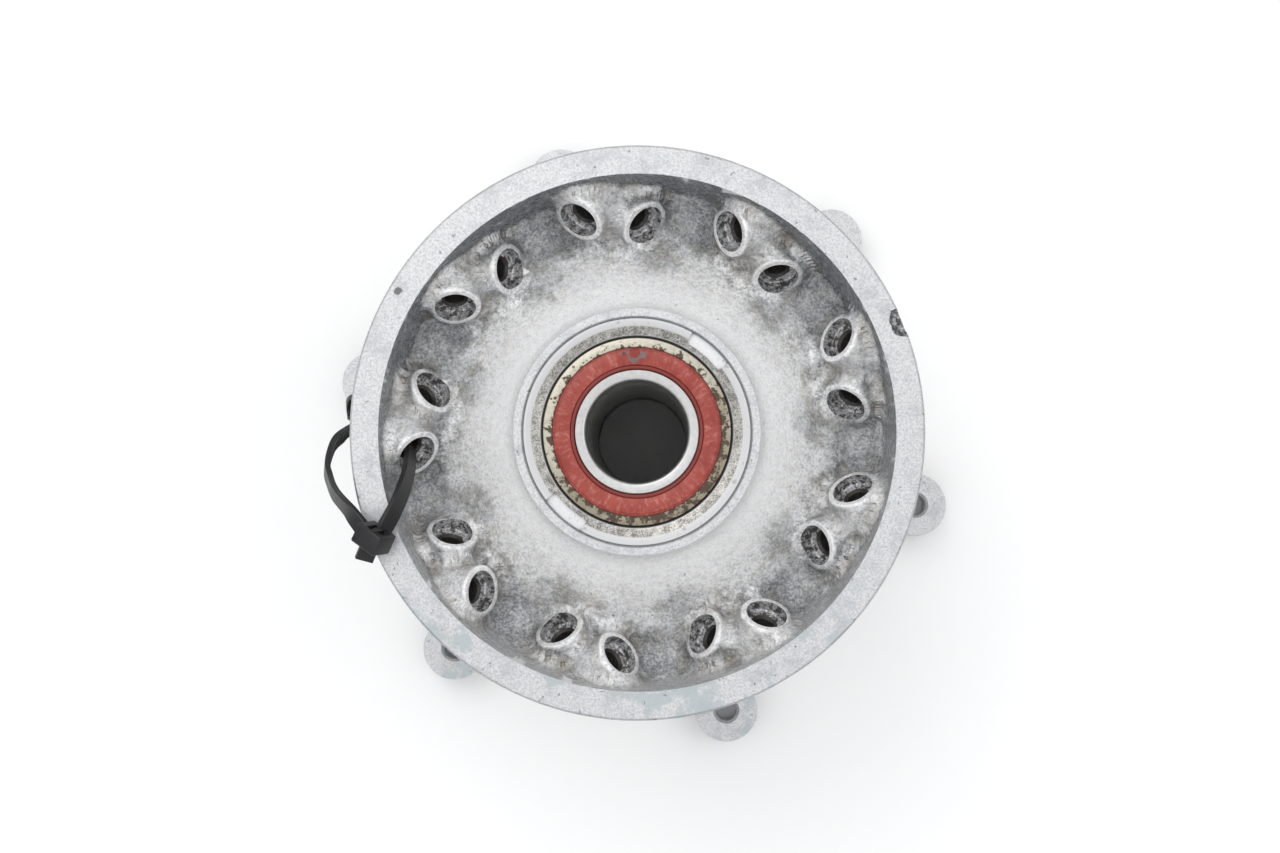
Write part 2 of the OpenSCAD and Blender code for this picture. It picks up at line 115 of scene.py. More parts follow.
# %% Lights
world = bpy.data.worlds.new("studio")
world.use_nodes = True
sky = world.node_tree
sky.nodes["Background"].inputs["Color"].default_value = (0.985, 0.99, 1, 1)
direction = sky.nodes.new("ShaderNodeTexCoord").outputs["Generated"]
height = sky.nodes.new("ShaderNodeSeparateXYZ")
ramp = sky.nodes.new("ShaderNodeMapRange")
ramp.inputs["From Min"].default_value, ramp.inputs["From Max"].default_value = 0.12, 0.85
ramp.inputs["To Min"].default_value, ramp.inputs["To Max"].default_value = 0.14, 1.22
sky.links.new(direction, height.inputs["Vector"])
sky.links.new(height.outputs["Z"], ramp.inputs["Value"])
sky.links.new(ramp.outputs["Result"], sky.nodes["Background"].inputs["Strength"])
bpy.context.scene.world = world


def soft_light(name, place, size, power):
    data = bpy.data.lights.new(name, "AREA")
    data.shape = "SQUARE"
    data.size = size
    data.energy = power
    lamp = bpy.data.objects.new(name, data)
    lamp.location = place
    lamp.rotation_euler = (-Vector(place)).to_track_quat("-Z", "Y").to_euler()
    bpy.context.scene.collection.objects.link(lamp)


soft_light("overhead", (-0.35, 0.6, 1.1), 0.8, 3.4)
soft_light("right_fill", (0.8, 0.1, 1.0), 0.6, 1.2)
bpy.context.scene.view_settings.view_transform = "Standard"

# %% [markdown]
# ## Turning tools
# Most pieces are turned on a lathe, so an outline in radius and height is spun round the axis. The same
# helper makes the cutters that machine the casting. Two short helpers say where a thing goes: so many
# millimetres along, and so many degrees round the wheel axis.

# %% Turned solids
def moved(x, y, z):
    return Matrix.Translation((x * MM, y * MM, z * MM))


def spun(degrees):
    return Matrix.Rotation(math.radians(degrees), 4, "Z")


def arc(centre_r, centre_z, radius, start, end, steps):
    """Points of an arc in the outline, in millimetres and degrees."""
    angles = [math.radians(start + (end - start) * i / steps) for i in range(steps + 1)]
    return [(centre_r + radius * math.cos(a), centre_z + radius * math.sin(a)) for a in angles]


def turned(outline, steps=128, place=None):
    """The solid that a closed outline of (radius, height) points makes when it is spun full circle."""
    bm = bmesh.new()
    corners = [bm.verts.new((r * MM, 0, z * MM)) for r, z in outline]
    edges = [bm.edges.new((corners[i - 1], corners[i])) for i in range(len(corners))]
    bmesh.ops.spin(bm, geom=corners + edges, axis=(0, 0, 1), cent=(0, 0, 0),
                   angle=2 * math.pi, steps=steps, use_merge=True)
    bmesh.ops.remove_doubles(bm, verts=bm.verts, dist=1e-7)
    bmesh.ops.recalc_face_normals(bm, faces=bm.faces)
    if place:
        bmesh.ops.transform(bm, matrix=place, verts=bm.verts)
    return bm


def add(bm, other):
    """Copies one bmesh into another."""
    mesh = bpy.data.meshes.new("part")
    other.to_mesh(mesh)
    other.free()
    bm.from_mesh(mesh)
    bpy.data.meshes.remove(mesh)


# %% [markdown]
# ## The casting
# The real one starts as molten metal: flanges, bosses, barrel and ears in one piece with soft inside
# corners. Both halves share one outline, turned to each flange's own radius, so it is written once.

# %% Casting outline
FLANGE_R, DISC_FLANGE_R, RIM_W = 56.0, 54.0, 5.6
BOSS_R, BARREL_R, FLANGE_DEPTH, BOWL_DEPTH = 24.0, 23.5, 27.5, 17.5
HUB_H, DISC_RIM_Z = rim_z / MM, 3.0
WAIST_Z = (HUB_H + DISC_RIM_Z) / 2


def bell(rim_r, height):
    """Half of the casting's outline, from its waist up to a rim face, with no machined detail."""
    wall_r = rim_r - RIM_W - 0.8
    outline = [(0, -0.01), (BARREL_R, -0.01)]
    outline += arc(BARREL_R + 9, height - FLANGE_DEPTH - 10.2, 9, 180, 97, 10)
    outline += arc(rim_r - 5.2, height - FLANGE_DEPTH + 4.4, 4.2, -85, -10, 8)
    outline += [(rim_r - 1, height - 17), (rim_r + 0.1, height - 8), (rim_r + 0.1, height + 1)]
    outline += [(rim_r - RIM_W, height + 1), (rim_r - RIM_W, height)]
    outline += arc(wall_r - 6, height - BOWL_DEPTH + 6, 6, -10, -128, 10)
    outline += [(wall_r - 14, height - 13.8)]
    outline += arc(BOSS_R + 3.3, height - 3, 3, 222, 180, 5)
    outline += [(BOSS_R, height + 1), (0, height + 1)]
    return outline


bell_points = len(bell(FLANGE_R, HUB_H - WAIST_Z))
print("bell outline has", bell_points, "points")

# %% [markdown]
# ### Spoke seats
# Each flange carries nine pairs of seats, one high and one low, that lean and swing the way the crossed
# spokes leave. A seat is kept as a matrix whose Z axis runs down the spoke hole, so the boss, the pocket and
# the hole can all be placed with it.

# %% Spoke seats
SEAT_PAIRS, SEAT_TURN, SEAT_SPREAD, SEAT_LEAN, SEAT_SWING = 9, 96.7, 8.8, 56.0, 48.5
SEAT_INSET = {"high": 12.1, "low": 14.0}
SEAT_DEPTH = {"high": 7.5, "low": 12.2}
SEAT_BOSS_R, SEAT_POCKET_R, SPOKE_HOLE_R = 5.3, 4.1, 2.2


def seat_frames(rim_r, first_angle):
    """Where each spoke hole starts: a matrix whose Z axis runs down the hole, below a rim face at zero."""
    for k in range(SEAT_PAIRS):
        for kind, side in (("high", 1), ("low", -1)):
            angle = math.radians(first_angle + 360 / SEAT_PAIRS * k + side * SEAT_SPREAD)
            swing = math.radians(-side * SEAT_SWING)
            radius = rim_r - SEAT_INSET[kind]
            mouth = Vector((radius * math.cos(angle), radius * math.sin(angle), -SEAT_DEPTH[kind])) * MM
            lean = Matrix.Rotation(math.radians(180 - SEAT_LEAN), 4, "Y")
            yield Matrix.Translation(mouth) @ Matrix.Rotation(angle + swing, 4, "Z") @ lean


UPSIDE_DOWN = Matrix.Scale(-1, 4, (0, 0, 1))
FLANGES = (
    (FLANGE_R, SEAT_TURN, moved(0, 0, HUB_H)),
    (DISC_FLANGE_R, SEAT_TURN + 180 / SEAT_PAIRS, moved(0, 0, DISC_RIM_Z) @ UPSIDE_DOWN),
)


def seats():
    """Every seat of both flanges, with the matrix of its flange."""
    for rim_r, first_angle, place in FLANGES:
        for seat in seat_frames(rim_r, first_angle):
            yield place @ seat, place


print("spoke seats:", sum(1 for _ in seats()))

# %% [markdown]
# ### The shapes before the fillets
# A boss swells round each hole and runs down into the bowl, so it is the hull of three cylinders, each
# lower and thinner than the last. A low saddle joins the two bosses of a pair. The ears are short cylinders
# on tapered arms. All of them simply overlap here, because the next step melts them together.

# %% Rough casting
EARS, EAR_R, EAR_TURN, EAR_END_R, EAR_H = 6, 66.0, 47.3, 7.4, 8.0
ARM_ROOT_R, ARM_ROOT_W, ARM_END_W, ARM_H, ARM_Z = 50.5, 23, 13.6, 6, 4
SADDLE_IN, SADDLE_DEPTH, SADDLE_SIZE = 14.5, 17.5, (7, 6, 3.6, 1)
BOSS_STEPS = ((0, SEAT_BOSS_R, 0), (1.5, SEAT_BOSS_R - 0.3, 0.6), (6, SEAT_BOSS_R - 0.9, 1.5))
BOSS_LENGTH = 12


def cylinder(bm, radius, low, high, place, segments=40):
    """Adds a capped cylinder from low to high along the Z axis of place, in millimetres."""
    middle = Matrix.Translation((0, 0, (low + high) / 2 * MM))
    bmesh.ops.create_cone(bm, cap_ends=True, segments=segments, radius1=radius * MM, radius2=radius * MM,
                          depth=(high - low) * MM, matrix=place @ middle)


def ear_turns():
    return [spun(EAR_TURN + 360 / EARS * k) for k in range(EARS)]


def add_arm(bm, turn):
    """The tapered arm from the flange to one ear."""
    arm = bmesh.ops.create_cube(bm, size=MM)["verts"]
    for v in arm:
        x, width = (EAR_R, ARM_END_W) if v.co.x > 0 else (ARM_ROOT_R, ARM_ROOT_W)
        v.co = (x * MM, v.co.y * width, v.co.z * ARM_H + ARM_Z * MM)
    bmesh.ops.transform(bm, matrix=turn, verts=arm)


rough = turned(bell(FLANGE_R, HUB_H - WAIST_Z), place=moved(0, 0, WAIST_Z))
lower = turned(bell(DISC_FLANGE_R, WAIST_Z - DISC_RIM_Z), place=moved(0, 0, WAIST_Z) @ UPSIDE_DOWN)
bmesh.ops.reverse_faces(lower, faces=lower.faces)
add(rough, lower)
for seat, place in seats():
    flange_up = (place.to_3x3() @ Vector((0, 0, 1))).normalized()
    boss = bmesh.new()
    for drop, radius, start in BOSS_STEPS:
        cylinder(boss, radius, start, BOSS_LENGTH, Matrix.Translation(-flange_up * drop * MM) @ seat)
    hull = bmesh.ops.convex_hull(boss, input=boss.verts)
    bmesh.ops.delete(boss, geom=list(set(hull["geom_interior"] + hull["geom_unused"])), context="VERTS")
    add(rough, boss)
for rim_r, first_angle, place in FLANGES:
    for k in range(SEAT_PAIRS):
        middle = place @ spun(first_angle + 360 / SEAT_PAIRS * k)
        saddle = middle @ moved(rim_r - SADDLE_IN, 0, -SADDLE_DEPTH) @ Matrix.Diagonal(SADDLE_SIZE)
        bmesh.ops.create_icosphere(rough, subdivisions=3, radius=MM, matrix=saddle)
for turn in ear_turns():
    cylinder(rough, EAR_END_R, -0.6, EAR_H + 0.4, turn @ moved(EAR_R, 0, 0))
    add_arm(rough, turn)
bmesh.ops.recalc_face_normals(rough, faces=rough.faces)
casting = new_object("hub_casting", rough)
print("rough casting:", len(casting.data.polygons), "faces")

# %% [markdown]
# ### Fillets by closing
# Where molten metal met a corner in the sand it left a soft fillet. A bevel can't make these, because the
# shapes only overlap. Instead the surface is grown outwards, remeshed and drawn back: narrow corners close
# while it grows and stay filled when it returns. At the end the mesh is smoothed and thinned.

# %% Fillets by closing
def modify(piece, kind, **settings):
    """Adds a modifier, sets it, and applies it at once."""
    modifier = piece.modifiers.new(kind.lower(), kind)
    for key, value in settings.items():
        setattr(modifier, key, value)
    result = bpy.data.meshes.new_from_object(piece.evaluated_get(bpy.context.evaluated_depsgraph_get()))
    old = piece.data
    piece.modifiers.clear()
    piece.data = result
    bpy.data.meshes.remove(old)


CORNER, VOXEL = 1.2 * MM, 0.55 * MM
for growth in (CORNER, -CORNER):
    modify(casting, "REMESH", mode="VOXEL", voxel_size=VOXEL)
    modify(casting, "DISPLACE", strength=growth, mid_level=0)
modify(casting, "SMOOTH", factor=0.5, iterations=5)
print("closed casting:", len(casting.data.polygons), "faces")
modify(casting, "DECIMATE", ratio=0.3)
print("thinned casting:", len(casting.data.polygons), "faces")

# %% [markdown]
# ## Finishes of the casting
# Sand-cast aluminium is pale and speckled, dull where dust and oil have settled in the corners, and brown
# where the bosses meet. Painted shade darkens the outer bowl, its steep walls and its corners as well. The
# machined faces are the same metal with a fine turned grain. Every pattern reads Object coordinates in
# millimetres, so its size on the metal is known.

# %% Node helpers
def wire(tree, kind, *links, **settings):
    """Adds a node; links are (socket, value or source socket) pairs and settings are its properties."""
    made = tree.nodes.new("ShaderNode" + kind)
    for key, value in settings.items():
        setattr(made, key, value)
    for socket, value in links:
        if isinstance(value, bpy.types.NodeSocket):
            tree.links.new(value, made.inputs[socket])
        else:
            made.inputs[socket].default_value = value
    return made


def millimetres(tree):
    """Object coordinates in millimetres."""
    place = wire(tree, "TexCoord").outputs["Object"]
    return wire(tree, "VectorMath", (0, place), ("Scale", 1000.0), operation="SCALE").outputs["Vector"]


def grain(tree, where, scale, detail=4.0, rough=0.6):
    """Noise from 0 to 1, where scale is the number of its grains in a millimetre."""
    return wire(tree, "TexNoise", ("Vector", where), ("Scale", scale), ("Detail", detail),
                ("Roughness", rough)).outputs["Fac"]


def step(tree, value, low, high, start=0.0, end=1.0):
    """Turns a value between low and high into one between start and end, and clamps it."""
    return wire(tree, "MapRange", ("Value", value), ("From Min", low), ("From Max", high),
                ("To Min", start), ("To Max", end)).outputs["Result"]


def maths(operation):
    """A helper that adds one kind of Math node and returns its result."""
    return lambda tree, a, b=0.0: wire(tree, "Math", (0, a), (1, b), operation=operation).outputs["Value"]


plus, minus, times = maths("ADD"), maths("SUBTRACT"), maths("MULTIPLY")
larger, unsigned, angle_of = maths("MAXIMUM"), maths("ABSOLUTE"), maths("ARCTAN2")


def blend(tree, factor, under, over):
    """Colour over on colour under, by the factor."""
    mix = wire(tree, "Mix", data_type="RGBA")
    for socket, value in ((0, factor), (6, under), (7, over)):
        if isinstance(value, bpy.types.NodeSocket):
            tree.links.new(value, mix.inputs[socket])
        elif socket == 0:
            mix.inputs[socket].default_value = value
        else:
            mix.inputs[socket].default_value = (*value, 1)
    return mix.outputs[2]


def part_of(tree, where, axis):
    """One coordinate of a point or a direction."""
    return wire(tree, "SeparateXYZ", ("Vector", where)).outputs[axis]


def radius_of(tree, where):
    """Distance from the wheel axis, in millimetres."""
    flat = wire(tree, "VectorMath", (0, where), (1, (1, 1, 0)), operation="MULTIPLY").outputs["Vector"]
    return wire(tree, "VectorMath", (0, flat), operation="LENGTH").outputs["Value"]


def turned_grain(tree, where, scale=6.0):
    """Fine lathe lines: noise that depends only on the distance from the wheel axis."""
    ring = wire(tree, "CombineXYZ", ("X", radius_of(tree, where))).outputs["Vector"]
    return grain(tree, ring, scale, 2, 0.8)


def surface(tree, skin, colour, metallic, rough):
    """Connects the finished colour and roughness, and sets how metallic the surface is."""
    tree.links.new(colour, skin.inputs["Base Color"])
    tree.links.new(rough, skin.inputs["Roughness"])
    skin.inputs["Metallic"].default_value = metallic


def bumps(tree, skin, *layers):
    """Chains bump nodes; each layer is (height socket, depth in millimetres)."""
    normal = None
    for height, depth in layers:
        bump = wire(tree, "Bump", ("Height", height), ("Strength", 1.0), ("Distance", depth * MM))
        if normal:
            tree.links.new(normal, bump.inputs["Normal"])
        normal = bump.outputs["Normal"]
    tree.links.new(normal, skin.inputs["Normal"])


def spot(tree, where, place, size, ragged=0.5):
    """1 inside a ragged spot round a place in millimetres, 0 outside."""
    away = wire(tree, "VectorMath", (0, where), (1, place), operation="DISTANCE").outputs["Value"]
    wavy = times(tree, minus(tree, grain(tree, where, 1.2 / size), 0.5), 2 * ragged * size)
    return step(tree, plus(tree, away, wavy), size * 1.05, size * 0.85)


print("node helpers ready")

# %% [markdown]
# ### Cast skin
# Dirt and shade could be painted by hand, but masks made from the shape itself stay right when the shape
# changes. They say how shut in a point is, how steep its surface is and how deep in the bowl it lies. Bare
# metal comes first, darkened outward by painted shade, then soot mixed with painted shade in the valley, on
# the walls and in corners, brown oil, pits, and last the edges that wear has rubbed bright, which also carry
# a painted highlight.

# %% Masks from the shape
def corners(tree, reach, samples=8):
    """How far a point is shut in by the surface around it: 0 in the open, 1 in a deep corner."""
    shade = wire(tree, "AmbientOcclusion", ("Distance", reach * MM), samples=samples)
    return minus(tree, 1.0, shade.outputs["AO"])


def steepness(tree):
    """0 where the surface faces along the wheel axis, 1 where it stands upright."""
    along = part_of(tree, wire(tree, "TexCoord").outputs["Normal"], "Z")
    return minus(tree, 1.0, unsigned(tree, along))


def depth_in_bowl(tree, where):
    """How far a point lies below the nearer rim face, in millimetres."""
    from_waist = unsigned(tree, minus(tree, part_of(tree, where, "Z"), WAIST_Z))
    return minus(tree, HUB_H - WAIST_Z, from_waist)


# %% Cast metal and painted bowl shade
def metal_and_bowl_shade(tree, where, radius, mixed, smudge):
    """Pale and sparkling round the boss, then darker outward as painted shade of the bowl, greyer with clouds
    and a straw-coloured film farther out.
    """
    # From 27 to 36 mm out the base tone falls from pale to dark: painted shade of the bowl's slope.
    farther = step(tree, radius, 27.0, 36.0)
    shade = blend(tree, farther, (0.80, 0.80, 0.805), (0.42, 0.42, 0.425))
    tone = blend(tree, step(tree, mixed, 0.39, 0.55), shade, (1.0, 1.0, 1.0))
    cloud = step(tree, grain(tree, where, 0.10, 4, 0.6), 0.35, 0.65, 0.25, 1.0)
    cloudy = times(tree, cloud, step(tree, radius, 28.0, 41.0, 0.0, 0.30))
    tone = blend(tree, cloudy, tone, (0.46, 0.46, 0.475))
    straw = times(tree, step(tree, smudge, 0.50, 0.66, 0.0, 0.5), farther)
    return blend(tree, straw, tone, (0.60, 0.55, 0.43))


# %% Soot and painted shade
def painted_shade_and_soot(tree, where, radius, mixed, waves, ragged):
    """0 to 1: painted shade mixed with brake soot, in the bowl's valley, on its steep walls, in corners and
    round the spoke seats.
    """
    wavy = plus(tree, radius, times(tree, waves, 22.0))
    depth = plus(tree, depth_in_bowl(tree, where), times(tree, waves, 16.0))
    inside = times(tree, step(tree, radius, 51.2, 50.7), step(tree, depth, 27.0, 22.0))
    # Painted shade with some brake soot: the deep valley, the steep walls and the corners of the bowl are
    # darkened.
    shut = corners(tree, 7)
    valley = times(tree, step(tree, depth, 11.4, 15.4), step(tree, wavy, 35.5, 41.0))
    valley = times(tree, valley, step(tree, shut, 0.05, 0.42, 0.50, 1.0))
    steep = step(tree, plus(tree, steepness(tree), times(tree, waves, 0.6)), 0.30, 0.62)
    low_side = plus(tree, part_of(tree, where, "Y"), times(tree, waves, 90.0))
    wall = times(tree, step(tree, wavy, 44.0, 47.5), steep)
    # The walls are painted darker toward +Y, where they face away from the overhead light: painted shade.
    wall = times(tree, wall, step(tree, low_side, -45.0, 20.0, 0.45, 1.0))
    # Corners shut in by the surface, and the stored mask round the seats, darken too: painted shade with some
    # dirt.
    corner_shade_and_dirt = step(tree, plus(tree, shut, waves), 0.26, 0.56)
    corner_shade_and_dirt = larger(tree, corner_shade_and_dirt, step(tree, ragged, 0.20, 1.1, 0.0, 0.62))
    shade_and_soot = larger(tree, times(tree, larger(tree, valley, wall), inside), corner_shade_and_dirt)
    return times(tree, shade_and_soot, step(tree, mixed, 0.60, 0.44, 0.60, 1.0))


def dull_low_end(tree, where, radius, smudge):
    """0 to 1: the grey film on the ears and on the outside near them."""
    outside = times(tree, step(tree, radius, 50.5, 56.0), step(tree, depth_in_bowl(tree, where), 16.0, 9.0))
    low = times(tree, outside, step(tree, part_of(tree, where, "Z"), 30.0, 20.0))
    return times(tree, low, step(tree, smudge, 0.40, 0.56, 0.30, 0.80))


# %% Cast skin
# The first colour is near-black painted shade with some brake soot.
SHADE_AND_SOOT, OIL_BROWN, DULL_GREY = (0.060, 0.070, 0.086), (0.215, 0.18, 0.12), (0.24, 0.24, 0.25)
# The last colour brightens edges: rubbed wear and a painted highlight.
PIT_DARK, EDGE_WEAR_AND_HIGHLIGHT = (0.08, 0.08, 0.08), (0.97, 0.97, 0.975)


def cast_skin(name):
    finish, tree, skin = shader(name)
    where = millimetres(tree)
    radius = radius_of(tree, where)
    sparkle = grain(tree, where, 1.9, 4, 0.8)
    speckle = grain(tree, where, 0.8, 7, 0.75)
    smudge = grain(tree, where, 0.28, 7, 0.72)
    mixed = plus(tree, times(tree, sparkle, 0.55), times(tree, speckle, 0.45))
    waves = minus(tree, smudge, 0.5)
    # The stored mask darkens below the mouths and between paired bosses: dirt and painted shade.
    painted = wire(tree, "Attribute", attribute_name="dirt_and_shade").outputs["Fac"]
    ragged = times(tree, painted, plus(tree, 1.0, times(tree, waves, 2.5)))
    # Painted shade with some soot: the bowl's valley, walls and corners go near black.
    shade_and_soot = painted_shade_and_soot(tree, where, radius, mixed, waves, ragged)
    colour = blend(tree, times(tree, shade_and_soot, 0.97), metal_and_bowl_shade(tree, where, radius, mixed, smudge), SHADE_AND_SOOT)
    oily = step(tree, ragged, 0.5, 1.1, 0.0, 0.35)
    oily = larger(tree, step(tree, corners(tree, 3.5, 6), 0.12, 0.36), oily)
    oily = times(tree, oily, step(tree, grain(tree, where, 0.16, 4), 0.44, 0.60))
    colour = blend(tree, times(tree, oily, 0.85), colour, OIL_BROWN)
    colour = blend(tree, dull_low_end(tree, where, radius, smudge), colour, DULL_GREY)
    pits = step(tree, grain(tree, where, 0.9, 2), 0.71, 0.75)
    colour = blend(tree, times(tree, pits, 0.6), colour, PIT_DARK)
    # Convex edges are painted brighter: partly rubbed wear, partly a painted highlight on boss tops and mouth
    # lips.
    edges = wire(tree, "NewGeometry").outputs["Pointiness"]
    worn = plus(tree, edges, times(tree, waves, 0.12))
    colour = blend(tree, step(tree, worn, 0.512, 0.55, 0.0, 0.85), colour, EDGE_WEAR_AND_HIGHLIGHT)
    surface(tree, skin, colour, 0.22, step(tree, mixed, 0.3, 0.6, 0.55, 0.34))
    bumps(tree, skin, (smudge, 0.25), (speckle, 0.10), (sparkle, 0.05))
    return finish


CAST = cast_skin("cast_aluminium")

# %% [markdown]
# ### Cut faces
# A lathe leaves fine rings, and years of handling leave grey wear, scratches and small pits. The spoke
# pockets, the broken spot in the rim and the dark holes are mottled metal: one recipe in three colours. The
# pockets' darkest share is dirt and painted shade, and the spoke holes are painted near black as painted
# shade.

# %% Machined faces
def machined_skin(name):
    finish, tree, skin = shader(name)
    where = millimetres(tree)
    radius = radius_of(tree, where)
    speckle = grain(tree, where, 2.1, 5, 0.75)
    crisp = grain(tree, where, 2.4, 6, 0.8)
    pale = blend(tree, step(tree, crisp, 0.38, 0.56), (0.42, 0.42, 0.435), (0.64, 0.645, 0.65))
    worn = step(tree, grain(tree, where, 0.22, 6, 0.7), 0.50, 0.64)
    dull = blend(tree, times(tree, worn, 0.45), pale, (0.36, 0.365, 0.385))
    scratch_map = wire(tree, "Mapping", ("Vector", where), ("Rotation", (0, 0, 0.6)),
                       ("Scale", (0.25, 2.6, 1))).outputs["Vector"]
    scratch = step(tree, grain(tree, scratch_map, 1.3, 3, 0.8), 0.66, 0.72)
    scored = blend(tree, times(tree, scratch, 0.35), dull, (0.30, 0.30, 0.32))
    low_side = step(tree, part_of(tree, where, "Y"), -22.0, -40.0)
    paint_patch = step(tree, grain(tree, where, 0.13, 5, 0.65), 0.50, 0.56)
    paint = times(tree, times(tree, low_side, paint_patch), step(tree, radius, 50.0, 50.6))
    painted = blend(tree, times(tree, paint, 0.75), scored, (0.40, 0.45, 0.47))
    pits = step(tree, grain(tree, where, 0.8, 2), 0.68, 0.73)
    colour = blend(tree, times(tree, pits, 0.7), painted, (0.14, 0.14, 0.14))
    joint_line = times(tree, step(tree, radius, 22.0, 22.2), step(tree, radius, 22.75, 22.45))
    colour = blend(tree, times(tree, joint_line, 0.3), colour, (0.10, 0.10, 0.11))
    stain = spot(tree, where, (-46.6, 27.4, 97), 0.8, 0.9)
    colour = blend(tree, times(tree, stain, 0.85), colour, (0.09, 0.09, 0.09))
    surface(tree, skin, colour, 0.6, step(tree, speckle, 0.3, 0.7, 0.5, 0.3))
    bumps(tree, skin, (turned_grain(tree, where), 0.01), (speckle, 0.03))
    return finish


MACHINED = machined_skin("machined_aluminium")

# %% Spoke pockets
def pocket_skin(name, bright, dim, dirt_and_shade):
    finish, tree, skin = shader(name)
    where = millimetres(tree)
    mottle = grain(tree, where, 0.7, 6, 0.72)
    fine = grain(tree, where, 2.4, 5, 0.75)
    bare = blend(tree, step(tree, fine, 0.40, 0.58), dim, bright)
    colour = blend(tree, step(tree, mottle, 0.49, 0.55, 0.0, 0.9), bare, dirt_and_shade)
    tree.links.new(colour, skin.inputs["Base Color"])
    skin.inputs["Metallic"].default_value = 0.35
    skin.inputs["Roughness"].default_value = 0.38
    bumps(tree, skin, (mottle, 0.2), (fine, 0.06))
    return finish


# The pockets' darkest mottle is dirt and painted shade; the spoke hole colours are near black all over as
# painted shade.
POCKET = pocket_skin("spoke_pocket", (0.72, 0.72, 0.73), (0.20, 0.20, 0.205), (0.045, 0.04, 0.035))
BREAK = pocket_skin("fresh_break", (0.50, 0.50, 0.51), (0.10, 0.10, 0.105), (0.05, 0.05, 0.05))
SPOKE_HOLE = pocket_skin("spoke_hole", (0.085, 0.082, 0.08), (0.03, 0.029, 0.028), (0.05, 0.04, 0.032))
print("casting finishes:", CAST.name, MACHINED.name, POCKET.name)

# %% [markdown]
# ## Machining
# Rim faces, boss ends, bearing seats, ear faces and spoke seats are cut after the casting has cooled. Each
# cutter is a plain solid, taken away with a boolean that passes the cutter's finish to the faces it leaves.

# %% Cutters
def box_cut(bm, low, high):
    """Adds a box between two corners, in millimetres."""
    made = bmesh.ops.create_cube(bm, size=1)["verts"]
    for v in made:
        v.co = [(low[i] if v.co[i] < 0 else high[i]) * MM for i in range(3)]


def machine(piece, name, bm, finish):
    """Cuts a shape away from a piece, and gives the cut faces their own finish."""
    bmesh.ops.recalc_face_normals(bm, faces=bm.faces)
    cutter = new_object("cutter_" + name, bm, finish)
    before = len(piece.data.polygons)
    modify(piece, "BOOLEAN", operation="DIFFERENCE", object=cutter, solver="MANIFOLD",
           material_mode="TRANSFER")
    bpy.data.objects.remove(cutter)
    print(name, before, "->", len(piece.data.polygons), "faces")


casting.data.materials.append(CAST)
lathe_top = [(0, HUB_H + 6), (0, HUB_H), (FLANGE_R - 0.4, HUB_H), (FLANGE_R, HUB_H - 0.4),
             (FLANGE_R, HUB_H - 9), (FLANGE_R + 6, HUB_H - 9), (FLANGE_R + 6, HUB_H + 6)]
machine(casting, "plain_faces", turned(lathe_top), MACHINED)
lathe_bottom = [(0, DISC_RIM_Z - 9), (0, DISC_RIM_Z), (51, DISC_RIM_Z), (51, DISC_RIM_Z - 9)]
machine(casting, "disc_faces", turned(lathe_bottom), MACHINED)

# %% Bore
BEARING_R, SEAT_R, LEDGE_R, HOLLOW_R, CARRIER_R = 18.5, 18.51, 16.8, 19.0, 22.25
carrier_z, carrier_top = (corner[2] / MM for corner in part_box("bearing_carrier"))
disc_bearing_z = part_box("disc_outer_ring")[0][2] / MM
collar_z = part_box("distance_collar")[0][2] / MM
boss_end_z = DISC_RIM_Z + 2.5
bore = [
    (0, HUB_H + 5), (CARRIER_R + 0.3, HUB_H + 5), (CARRIER_R + 0.3, HUB_H), (CARRIER_R, HUB_H - 0.3),
    (CARRIER_R, carrier_z), (LEDGE_R, carrier_z), (LEDGE_R, carrier_z - 4), (HOLLOW_R, carrier_z - 8),
    (HOLLOW_R, collar_z + 8), (LEDGE_R, collar_z + 4), (LEDGE_R, collar_z), (SEAT_R, collar_z),
    (SEAT_R, disc_bearing_z + 0.05), (BEARING_R + 1, disc_bearing_z + 0.05),
    (BEARING_R + 1, disc_bearing_z - 1.55), (SEAT_R, disc_bearing_z - 1.55),
    (SEAT_R, boss_end_z + 0.6), (SEAT_R + 0.6, boss_end_z), (26.5, boss_end_z), (26.5, -5), (0, -5)]
machine(casting, "bore", turned(bore), MACHINED)

# %% Ear faces and holes
TAP_R, TAP_MOUTH_R = 2.5, 3.1
tap = [(0, -2), (TAP_MOUTH_R, -2), (TAP_MOUTH_R, 0), (TAP_R, 0.6), (TAP_R, EAR_H - 0.6),
       (TAP_MOUTH_R, EAR_H), (TAP_MOUTH_R, EAR_H + 2), (0, EAR_H + 2)]
under, spot_faces, taps = bmesh.new(), bmesh.new(), bmesh.new()
box_cut(under, (-90, -90, -6), (90, 90, 0))
for turn in ear_turns():
    ear = turn @ moved(EAR_R, 0, 0)
    cylinder(spot_faces, EAR_END_R + 1.2, EAR_H, EAR_H + 4, ear, 48)
    add(taps, turned(tap, 32, ear))
for name, cutters in (("ear_seats", under), ("ear_spot_faces", spot_faces), ("ear_holes", taps)):
    machine(casting, name, cutters, MACHINED)

